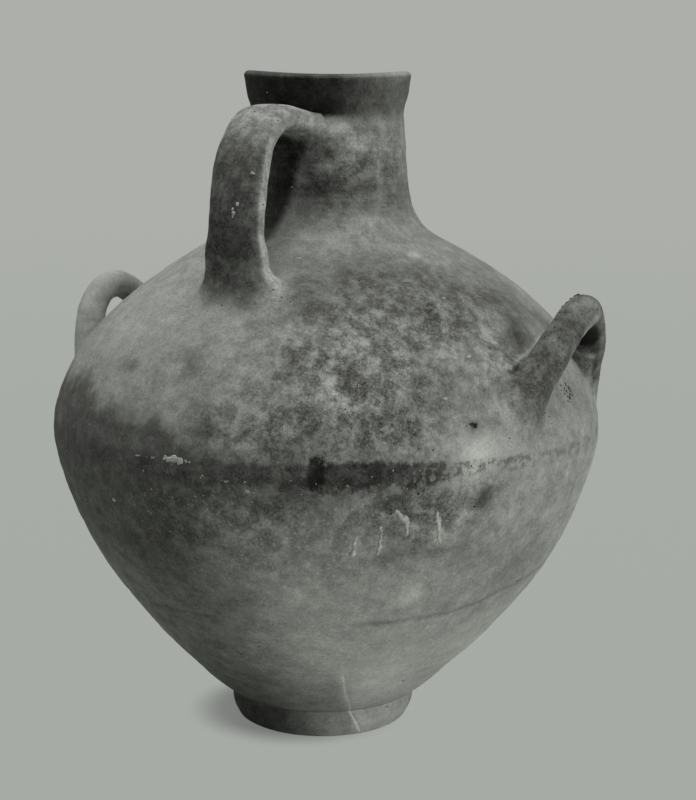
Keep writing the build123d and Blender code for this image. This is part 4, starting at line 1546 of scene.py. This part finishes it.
# %% Lime and grit finishes
dirt_layers = {"grain": (0.9, 2.0, 0.6, (1, 1, 1)), "lump": (3.0, 2.0, 0.5, (1, 1, 1))}
dirt_recipe = [
    ("sum", "shade", "lump", {"grain": 0.5}),
    ("sum", "height", "grain", {"lump": 0.5}),
    ("sum", "sheen", "lump", {"grain": 0.3}),
]
lime_greys = [(0.0, "7f817c"), (0.5, "abada7"), (1.0, "d4d6d0")]
char_greys = [(0.0, "0f100e"), (0.5, "2b2c29"), (1.0, "4c4d49")]
for material, greys in ((lime, lime_greys), (char, char_greys)):
    value = cook(bare_tree(material), dirt_layers, [], dirt_recipe)
    grey_finish(
        material, value, plain_dirt, greys,
        rough=0.92, sheen_part=0.1, bump_mm=0.3, strength=0.4, specular=0.2,
    )
    print(material.name, len(material.node_tree.nodes), "nodes")

# %% [markdown]
# Floor, backdrop and light
#
# The jar stands on plain paper before a plain wall, both pale. The light is a broad window
# to the right, a skylight above, a softer one behind on the left, and a weak fill in front.
# The floor is real lit paper close round the foot, where it keeps the jar's soft shadow.
# Further out the camera sees the paper's own even tone, by Light Path's Is Camera Ray,
# while the jar still gets the light that real paper would throw back at it.

# %% Floor and backdrop
# Half the paper's width, and how far right of the jar the middle of the lit paper lies, in m
paper_half, lit_middle = 6, -20 * MM
# The lit paper passes into the even tone between the first two distances from that middle,
# and that tone passes from its near to its far grey between the other two
lit_until, even_from, tone_near, tone_far = 52 * MM, 82 * MM, 0.2, 4.0
# The camera sees this share of the even tone close to the foot too
least_even = 0.45


def studio_paper(near, far_start, far_end):
    """Lit paper round the foot, which passes into its own even tone for the camera."""
    material = bpy.data.materials.new("Studio_paper_matt")
    tree = bare_tree(material)
    lit = add_node(tree, "ShaderNodeBsdfDiffuse", {"Color": linear(near)})
    place = add_node(tree, "ShaderNodeTexCoord").outputs["Object"]
    middle = tuple((lit_middle * camera_right).tolist())
    reach = add_node(
        tree, "ShaderNodeVectorMath", {0: place, 1: middle}, operation="DISTANCE"
    ).outputs["Value"]
    distance = add_node(
        tree, "ShaderNodeMapRange", {"Value": reach, "From Min": tone_near, "From Max": tone_far}
    ).outputs["Result"]
    tones = add_node(tree, "ShaderNodeMix", {"Factor": distance}, data_type="RGBA")
    tones.inputs["A"].default_value = linear(far_start)
    tones.inputs["B"].default_value = linear(far_end)
    even = add_node(tree, "ShaderNodeEmission", {"Strength": 1.0})
    tree.links.new(tones.outputs["Result"], even.inputs["Color"])
    away = add_node(
        tree, "ShaderNodeMapRange",
        {"Value": reach, "From Min": lit_until, "From Max": even_from, "To Min": least_even},
        interpolation_type="SMOOTHSTEP",
    ).outputs["Result"]
    seen_by_camera = add_node(tree, "ShaderNodeLightPath").outputs["Is Camera Ray"]
    mixing = add_node(
        tree, "ShaderNodeMath", {0: away, 1: seen_by_camera}, operation="MULTIPLY"
    ).outputs[0]
    mixed = add_node(
        tree, "ShaderNodeMixShader", {0: mixing, 1: lit.outputs[0], 2: even.outputs[0]}
    )
    add_node(tree, "ShaderNodeOutputMaterial", {"Surface": mixed.outputs[0]})
    return material


floor_mesh = bpy.data.meshes.new("Floor")
corners = [(-1, -1), (1, -1), (1, 1), (-1, 1)]
floor_mesh.from_pydata(
    [(x * paper_half, y * paper_half, 0) for x, y in corners], [], [(0, 1, 2, 3)]
)
floor = put("Floor", floor_mesh)
floor_mesh.materials.append(studio_paper("d0d3ce", "a7aba6", "acafaa"))

# %% World
world = bpy.data.worlds.new("Studio")
bpy.context.scene.world = world
sky_tree = bare_tree(world)
air = add_node(sky_tree, "ShaderNodeBackground", {"Color": linear("c8ccc8"), "Strength": 0.10})
backdrop = add_node(sky_tree, "ShaderNodeBackground", {"Color": linear("acafaa"), "Strength": 1.0})
seen_by_camera = add_node(sky_tree, "ShaderNodeLightPath").outputs["Is Camera Ray"]
both = add_node(
    sky_tree, "ShaderNodeMixShader", {0: seen_by_camera, 1: air.outputs[0], 2: backdrop.outputs[0]}
)
add_node(sky_tree, "ShaderNodeOutputWorld", {"Surface": both.outputs[0]})
print("world:", len(sky_tree.nodes), "nodes")

# %% Lamps
# How far off each lamp stands and how high it aims, in metres
lamp_distance, jar_middle = 2.5, 0.22
# Lamps: angle from the camera's side, elevation, width in metres, power in watts
lamps = {
    "Skylight": (0, 85, 1.2, 40),
    "Window_light": (66, 5, 1.1, 35),
    "Back_left_light": (-100, 55, 1.0, 17),
    "Front_fill": (10, 5, 1.0, 3.5),
}


def lamp(name, angle, elevation, size, power):
    """A soft square lamp aimed at the jar's middle."""
    light = bpy.data.lights.new(name, "AREA")
    light.shape, light.size, light.energy = "SQUARE", size, power
    holder = put(name, light)
    turn, raised = math.radians(seen(angle)), math.radians(elevation)
    level = math.cos(raised)
    aim = Vector((math.sin(turn) * level, -math.cos(turn) * level, math.sin(raised)))
    holder.location = aim * lamp_distance + Vector((0, 0, jar_middle))
    holder.rotation_mode = "QUATERNION"
    holder.rotation_quaternion = aim.to_track_quat("Z", "Y")


for name, settings in lamps.items():
    lamp(name, *settings)
bpy.context.scene.view_settings.view_transform = "Standard"
print("lamps:", sorted(lamps))
